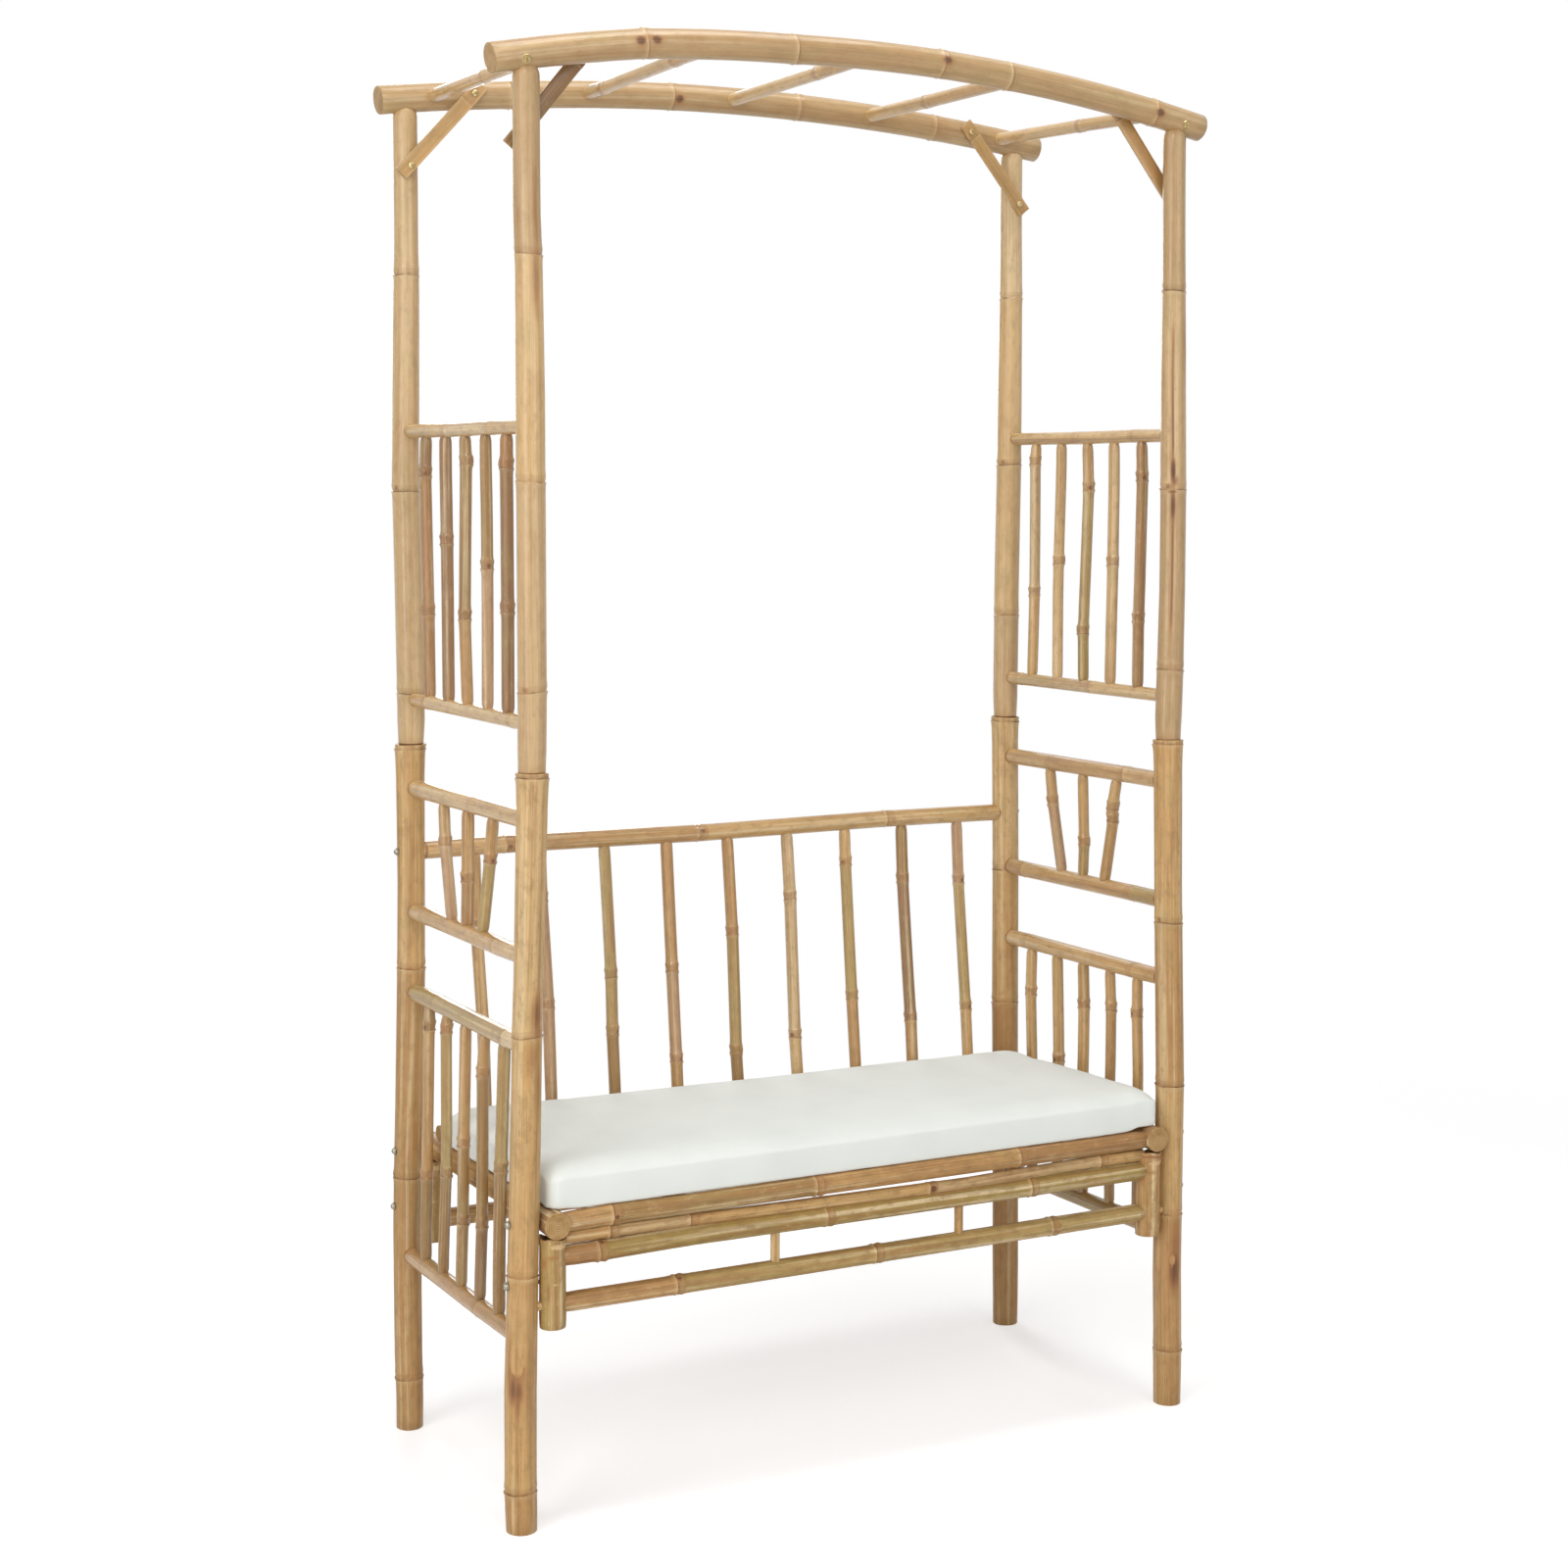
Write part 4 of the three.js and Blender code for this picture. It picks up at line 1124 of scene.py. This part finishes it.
def saddle(x, y):
    """How far a stub's rim rises beside the culm above it, and curls in front of it."""
    curl = 2.0 * MM * math.sin(3.0 * math.atan2(y, x) + 0.8)
    return 0.18 * abs(x) * min(1.0, abs(x) / 0.012) + curl


for depth, back, side, hand in CORNERS:
    x = hand * STUB_X
    y = back * APRON_Y
    rim = SEAT_HEIGHT - SIDE_CULM_RADIUS - (5.5 if hand < 0.0 else 4.0) * MM
    foot = 0.273 if hand < 0.0 else 0.269
    culm(
        f"stub_culm_{depth}_{side}", straight((x, y, foot), (x, y, rim)), STUB_RADIUS, APRON,
        [f"{depth}_{side}_stub_post"], steps=36, tones="olive" if hand < 0.0 else "tan",
        sway=0.0, oval=0.02, flute=0.012, hollow=0.016, cope=(0.010, saddle), pitch=8 * MM,
        burns_and_shades=((0.090, -150, 0.010, 0.006, 0.35), (0.030, -60, 0.012, 0.002, 0.4),
               (0.052, -128, 0.020, 0.0022, 0.4), (0.070, -82, 0.016, 0.002, 0.35),
               (0.098, -112, 0.004, 0.012, 0.3), (0.121, -90, 0.0025, 0.2, 0.45),
               (0.112, -70, 0.004, 0.020, -0.7), (0.062, -100, 0.002, 0.005, -0.5),
               (0.084, -64, 0.006, 0.0015, -0.5)),
        girth=[(0.0, 0.97), (0.012, 1.0), (0.10, 0.98), (0.110, 0.97), (0.116, 1.04),
               (0.122, 1.05), (0.126, 1.0)],
    )

# Each cross rail: height, depth, radius, half length, rings as places across, how far it lies
# above its line in millimetres at places across, tones, node.
FRONT_RAIL_HEIGHT = 0.4146
LEVEL = ((-0.474, 0.0), (0.474, 0.0))
CROSS_RAILS = (
    ("seat_rail_front", FRONT_RAIL_HEIGHT, -APRON_Y, 0.0138, 0.478, (-0.401, -0.090, 0.248),
     ((-0.478, -2.0), (-0.401, 0.0), (-0.29, -0.5), (0.1, 0.0), (0.478, 0.0)),
     "tan drab tan russet", "seat_front_rail"),
    ("seat_rail_back", SEAT_HEIGHT, APRON_Y, 0.0120, 0.4735, (-0.30, 0.05, 0.36), LEVEL,
     "tan olive tan", "seat_back_rail"),
    ("apron_thick_culm", 0.3675, -APRON_Y, 0.0143, 0.474, (-0.421, -0.073, 0.267),
     ((-0.474, 0.0), (-0.421, 0.0), (-0.28, 2.5), (-0.073, 1.5), (0.267, 0.5), (0.474, 0.5)),
     "russet moss moss moss", "front_apron_thick_rail"),
    ("apron_low_culm_front", LOW_RAIL_HEIGHT, -APRON_Y, 0.0135, 0.474, (-0.306, 0.007, 0.306),
     LEVEL, "tan olive olive olive", "front_apron_low_rail"),
    ("apron_low_culm_back", LOW_RAIL_HEIGHT, APRON_Y, 0.0135, 0.474, (-0.25, 0.10, 0.38), LEVEL,
     "tan olive tan", "back_apron_low_rail"),
)
for name, height, y, radius, half, places, rises, tones, node in CROSS_RAILS:
    culm(
        name, straight((-half, y, height), (half, y, height)), radius, APRON,
        [node], steps=28, rings=[half + place for place in places], tones=tones,
        ridge=1.3 * MM, reach=0.80, tilt=0.9 * MM, flute=0.015, scar=0.85, knot_shade=0.8,
        kinks=[(half + place, -up * MM, 0.0) for place, up in rises],
        girth=[(0.0, 0.93), (0.02, 1.0), (2 * half - 0.02, 1.0), (2 * half, 0.93)],
        buds=[(half + places[0], chance.uniform(-150.0, -70.0))],
    )
# The thin bar touches the front rail at its ends, and sags right of the middle.
THIN_BAR_RISES = (
    (-0.474, 0.5), (-0.405, 0.5), (-0.29, 0.0), (-0.13, -2.0), (0.16, -4.8), (0.28, -2.0),
    (0.36, -0.2), (0.474, 0.0),
)
culm(
    "apron_thin_culm", straight((-0.474, -APRON_Y, 0.3914), (0.474, -APRON_Y, 0.3914)), 0.0088,
    APRON, ["front_apron_thin_bar"], steps=20, rings=(0.070, 0.190, 0.571, 0.867),
    tones="honey sand honey sand honey", tilt=0.8 * MM, oval=0.02, flute=0.015, scar=0.8, knot=1.1,
    knot_shade=0.85, buds=((0.571, -95),),
    kinks=[(0.474 + x, -up * MM, 0.0) for x, up in THIN_BAR_RISES],
)
for side, hand in SIDES.items():
    for depth, back in DEPTHS.items():
        start, end = ((hand * x, back * APRON_Y, LOW_RAIL_HEIGHT) for x in (0.468, 0.509))
        culm(
            f"spigot_{depth}_{side}", straight(start, end), 0.0060, APRON,
            [f"{depth}_apron_low_rail"], steps=16, sway=0.0,
        )
for side, hand in SIDES.items():
    x = hand * 0.150
    culm(
        f"apron_spacer_{side}", straight((x, -APRON_Y, 0.312), (x, -APRON_Y, 0.3585)), 0.0065,
        APRON, ["front_apron_low_rail"], steps=18, tones="honey", sway=0.0, pitch=9 * MM,
    )

# Slat mat: eight strips of split culm on three bearers.
SLAT_COUNT = 8
SLAT_PITCH = 0.0535
SLAT_HEIGHT = 0.4302
BEARER_HEIGHT = 0.4232
for number in range(SLAT_COUNT):
    y = (number - 0.5 * (SLAT_COUNT - 1)) * SLAT_PITCH
    rings = [chance.uniform(0.1, 0.3), chance.uniform(0.45, 0.6), chance.uniform(0.7, 0.85)]
    strip(
        f"seat_slat_{number + 1}", (-0.4665, y, SLAT_HEIGHT), (0.4715, y, SLAT_HEIGHT), UP,
        0.0455, 0.0048, 0.0010, APRON, ["seat_slat_mat"],
        (chance.choice(["straw", "honey", "olive"]), "tan"), rings,
    )
for number, x in enumerate((-0.298, 0.0, 0.298), 1):
    strip(
        f"seat_bearer_{number}", (x, -0.222, BEARER_HEIGHT), (x, 0.222, BEARER_HEIGHT), -UP,
        0.0235, 0.0095, 0.0008, APRON, ["seat_slat_mat"], ("tan", "honey"),
    )


# Cushion: a foam pad in a canvas cover, puffed by cloth simulation and flat where it rests.
CUSHION_LOW = Vector((-0.495, -0.228, 0.4338))
CUSHION_HIGH = Vector((0.495, 0.160, 0.4868))
# Each upright corner: its sides across and in depth, and its rounding.
CORNER_ROUNDING = ((-1, 1, 0.020), (1, 1, 0.020), (-1, -1, 0.020), (1, -1, 0.007))
# The cloth's greatest move, and the front of the slats, past which the cover hangs. It hangs on
# to the front rail, this far from its axis, as far out as the side culms.
PUFF_CAP = 5 * MM
SLAT_EDGE = -0.2118
COVER_REACH = 0.0142
BETWEEN_CULMS = 0.466


def cushion_shape():
    """A rounded oblong, slightly smaller than the cushion: soft on top, crisper where it rests."""
    size = CUSHION_HIGH - CUSHION_LOW
    centre = 0.5 * (CUSHION_LOW + CUSHION_HIGH)
    shape = bmesh.new()
    bmesh.ops.create_cube(shape, size=1.0)
    small = Vector((size.x + 0.001, size.y + 0.001, size.z - 0.001))
    bmesh.ops.scale(shape, vec=small, verts=shape.verts)
    for across, along, round_off in CORNER_ROUNDING:
        upright = [
            e for e in shape.edges
            if abs(e.verts[0].co.z - e.verts[1].co.z) > 0.01
            and across * e.verts[0].co.x > 0.45 and along * e.verts[0].co.y > 0.15
        ]
        rounded(shape, upright, round_off, 6)
    for sign, round_off in ((1.0, 0.0065), (-1.0, 0.0015)):
        rims = [
            e for e in shape.edges
            if e.calc_face_angle(0.0) > 1.0 and sign * e.verts[0].co.z > 0.0
            and sign * e.verts[1].co.z > 0.0
        ]
        rounded(shape, rims, round_off, 4)
    for vert in shape.verts:
        x, y, z = vert.co
        vert.co.y -= math.copysign(0.003, y) * (1.0 - (2.0 * x / size.x) ** 2)
        vert.co.x -= math.copysign(0.003, x) * (1.0 - (2.0 * y / size.y) ** 2)
    bmesh.ops.translate(shape, verts=shape.verts, vec=centre - Vector((0.0, 0.0, 0.001)))
    return shape


def puff(piece):
    """Remeshes the pad, and lets cloth under pressure round it within a cap."""
    remesh = piece.modifiers.new("remesh", "REMESH")
    remesh.mode = "VOXEL"
    remesh.voxel_size = 0.0065
    bpy.context.view_layer.objects.active = piece
    bpy.ops.object.modifier_apply(modifier=remesh.name)
    still = [vert.co.copy() for vert in piece.data.vertices]
    cloth = piece.modifiers.new("cloth", "CLOTH")
    cloth.settings.use_pressure = True
    cloth.settings.uniform_pressure_force = 4.0
    cloth.settings.effector_weights.gravity = 0.0
    cloth.settings.quality = 5
    for moment in range(1, 21):
        scene.frame_set(moment)
    bpy.ops.object.modifier_apply(modifier=cloth.name)
    scene.frame_set(1)
    for vert, rest in zip(piece.data.vertices, still):
        move = vert.co - rest
        if move.length > PUFF_CAP:
            vert.co = rest + move * (PUFF_CAP / move.length)


def eased(share):
    share = limited(share, 0.0, 1.0)
    return share * share * (3.0 - 2.0 * share)


def hanging(x, y):
    """How far the cover hangs below the slats in front of them: on to the front rail between
    the side culms, and less on the left one, whose front end lies lower."""
    past = limited(-APRON_Y - y, 0.0, COVER_REACH)
    rail_top = FRONT_RAIL_HEIGHT + math.sqrt(COVER_REACH ** 2 - past ** 2)
    between = eased((BETWEEN_CULMS - abs(x)) / 0.02)
    beside = 3.2 * MM if x < 0.0 else 0.0
    return beside + (CUSHION_LOW.z - rail_top - beside) * between


def settle(piece):
    """Presses the underside flat on the slats, rounds the long top edges, lets the front edge
    hang over the front rail, spreads the front right corner towards its post, lowers the
    back, and lets the cover's top ripple."""
    low = CUSHION_LOW
    high = CUSHION_HIGH
    for vert in piece.data.vertices:
        x, y, z = vert.co
        up = (z - low.z) / (high.z - low.z)
        ripple = noise.noise(Vector((x * 5.0, y * 7.0, 1.7))) * 1.3 * MM
        ripple += noise.noise(Vector((x * 14.0, y * 18.0, 4.1))) * 0.5 * MM
        z += ripple * limited(up, 0.0, 1.0)
        x = limited(x, low.x + 0.5 * MM, high.x + 0.5 * MM)
        y = limited(y, low.y - 0.5 * MM, high.y + 1.0 * MM)
        z = limited(z, low.z, high.z + 5.0 * MM)
        z -= (3.5 + 6.5 * x) * MM * eased((y + 0.10) / 0.26) * eased(up)
        for inwards in (y - low.y, high.y - y, x - low.x, high.x - x):
            z -= 9.0 * MM * max(0.0, 1.0 - inwards / 0.040) ** 2 * eased((up - 0.40) / 0.60)
        x += 6.5 * MM * eased((x - 0.30) / 0.19) * eased((0.05 - y) / 0.27)
        y -= 7.0 * MM * eased((-0.14 - y) / 0.085)
        if y < SLAT_EDGE:
            z -= hanging(x, y) * (1.0 - 0.4 * eased(up))
        else:
            sunk = 0.6 * hanging(x, SLAT_EDGE) * eased((-0.14 - y) / 0.07) * eased(up)
            z = max(low.z, z - sunk)
        vert.co = (x, y, z)


def make_cushion():
    piece = keep_piece(cushion_shape(), "canvas_cushion", CANVAS, [], "cushion", crease=180.0)
    puff(piece)
    settle(piece)
    finer = piece.modifiers.new("finer", "SUBSURF")
    finer.levels = 1
    finer.render_levels = 1
    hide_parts("seat_cushion")


make_cushion()


# Studio: a white floor that fades into a white world, and soft lamps.
def directly_seen(tree):
    """1 on rays from the camera, also by way of a glossy or clear surface, and 0 on the rest."""
    camera, glossy, clear = (
        add(tree, "LightPath", output=f"Is {kind} Ray")
        for kind in ("Camera", "Glossy", "Transmission")
    )
    seen = add(tree, "Math", (camera, glossy), operation="MAXIMUM")
    return add(tree, "Math", (seen, clear), operation="MAXIMUM")


def make_floor():
    shape = bmesh.new()
    bmesh.ops.create_grid(shape, x_segments=8, y_segments=8, size=14.0)
    mesh = bpy.data.meshes.new("studio_floor")
    shape.to_mesh(mesh)
    shape.free()
    material, tree = new_material("white_studio_floor")
    place = add(tree, "TexCoord", output="Object")
    away = add(tree, "VectorMath", (place,), output="Value", operation="LENGTH")
    far = add(tree, "MapRange", (away, 1.2, 3.0, 0.0, 1.0), interpolation_type="SMOOTHSTEP")
    seen = directly_seen(tree)
    matt = add(tree, "BsdfDiffuse", {"Color": colour(0.78)})
    extra = add(tree, "Math", (seen, 0.50), operation="MULTIPLY")
    lift = add(tree, "Emission", {"Color": colour(1.0), "Strength": extra})
    lit = add(tree, "AddShader", (matt, lift))
    white = add(tree, "MapRange", (seen, 0.0, 1.0, 0.5, 1.0))
    glow = add(tree, "Emission", {"Color": colour(1.0), "Strength": white})
    both = add(tree, "MixShader", (far, lit, glow))
    add(tree, "OutputMaterial", {"Surface": both})
    mesh.materials.append(material)
    floor = bpy.data.objects.new("studio_floor", mesh)
    scene.collection.objects.link(floor)


def make_world():
    world = bpy.data.worlds.new("white_studio")
    world.use_nodes = True
    tree = world.node_tree
    tree.nodes.clear()
    strength = add(tree, "MapRange", (directly_seen(tree), 0.0, 1.0, 0.20, 1.0))
    glow = add(tree, "Background", {"Color": colour(1.0), "Strength": strength})
    add(tree, "OutputWorld", {"Surface": glow})
    scene.world = world


def softbox(name, spot, target, size, watts, diffuse=True, glossy=True):
    lamp = bpy.data.lights.new(name, "AREA")
    lamp.shape = "RECTANGLE"
    lamp.size = size[0]
    lamp.size_y = size[1]
    lamp.energy = watts
    holder = bpy.data.objects.new(name, lamp)
    holder.visible_camera = False
    holder.visible_diffuse = diffuse
    holder.visible_glossy = glossy
    facing = (Vector(target) - Vector(spot)).to_track_quat("-Z", "Y")
    holder.matrix_world = Matrix.Translation(spot) @ facing.to_matrix().to_4x4()
    scene.collection.objects.link(holder)


make_floor()
make_world()
# Two wide boxes light the object from the left and right of the camera. In the place of each,
# another one draws the long highlights on the varnish.
LEFT_LAMP = ((-3.74, -1.91, 1.9), (0.0, 0.0, 1.3))
RIGHT_LAMP = ((0.44, -4.18, 1.9), (0.0, 0.0, 1.3))
softbox("left_box", *LEFT_LAMP, (2.2, 3.6), 88.0, glossy=False)
softbox("right_box", *RIGHT_LAMP, (1.8, 3.6), 50.0, glossy=False)
softbox("left_sheen", *LEFT_LAMP, (1.5, 3.6), 160.0, diffuse=False)
softbox("right_sheen", *RIGHT_LAMP, (1.5, 3.6), 95.0, diffuse=False)
softbox("camera_box", (-2.4, -4.0, 3.8), (0.0, 0.0, 1.0), (1.4, 1.4), 50.0)
softbox("top_box", (0.0, -0.3, 4.2), (0.0, 0.0, 0.0), (2.6, 1.2), 56.0)
softbox("back_box", (0.8, 3.8, 2.4), (0.0, 0.0, 1.0), (1.6, 2.0), 45.0)

scene.view_settings.view_transform = "Standard"
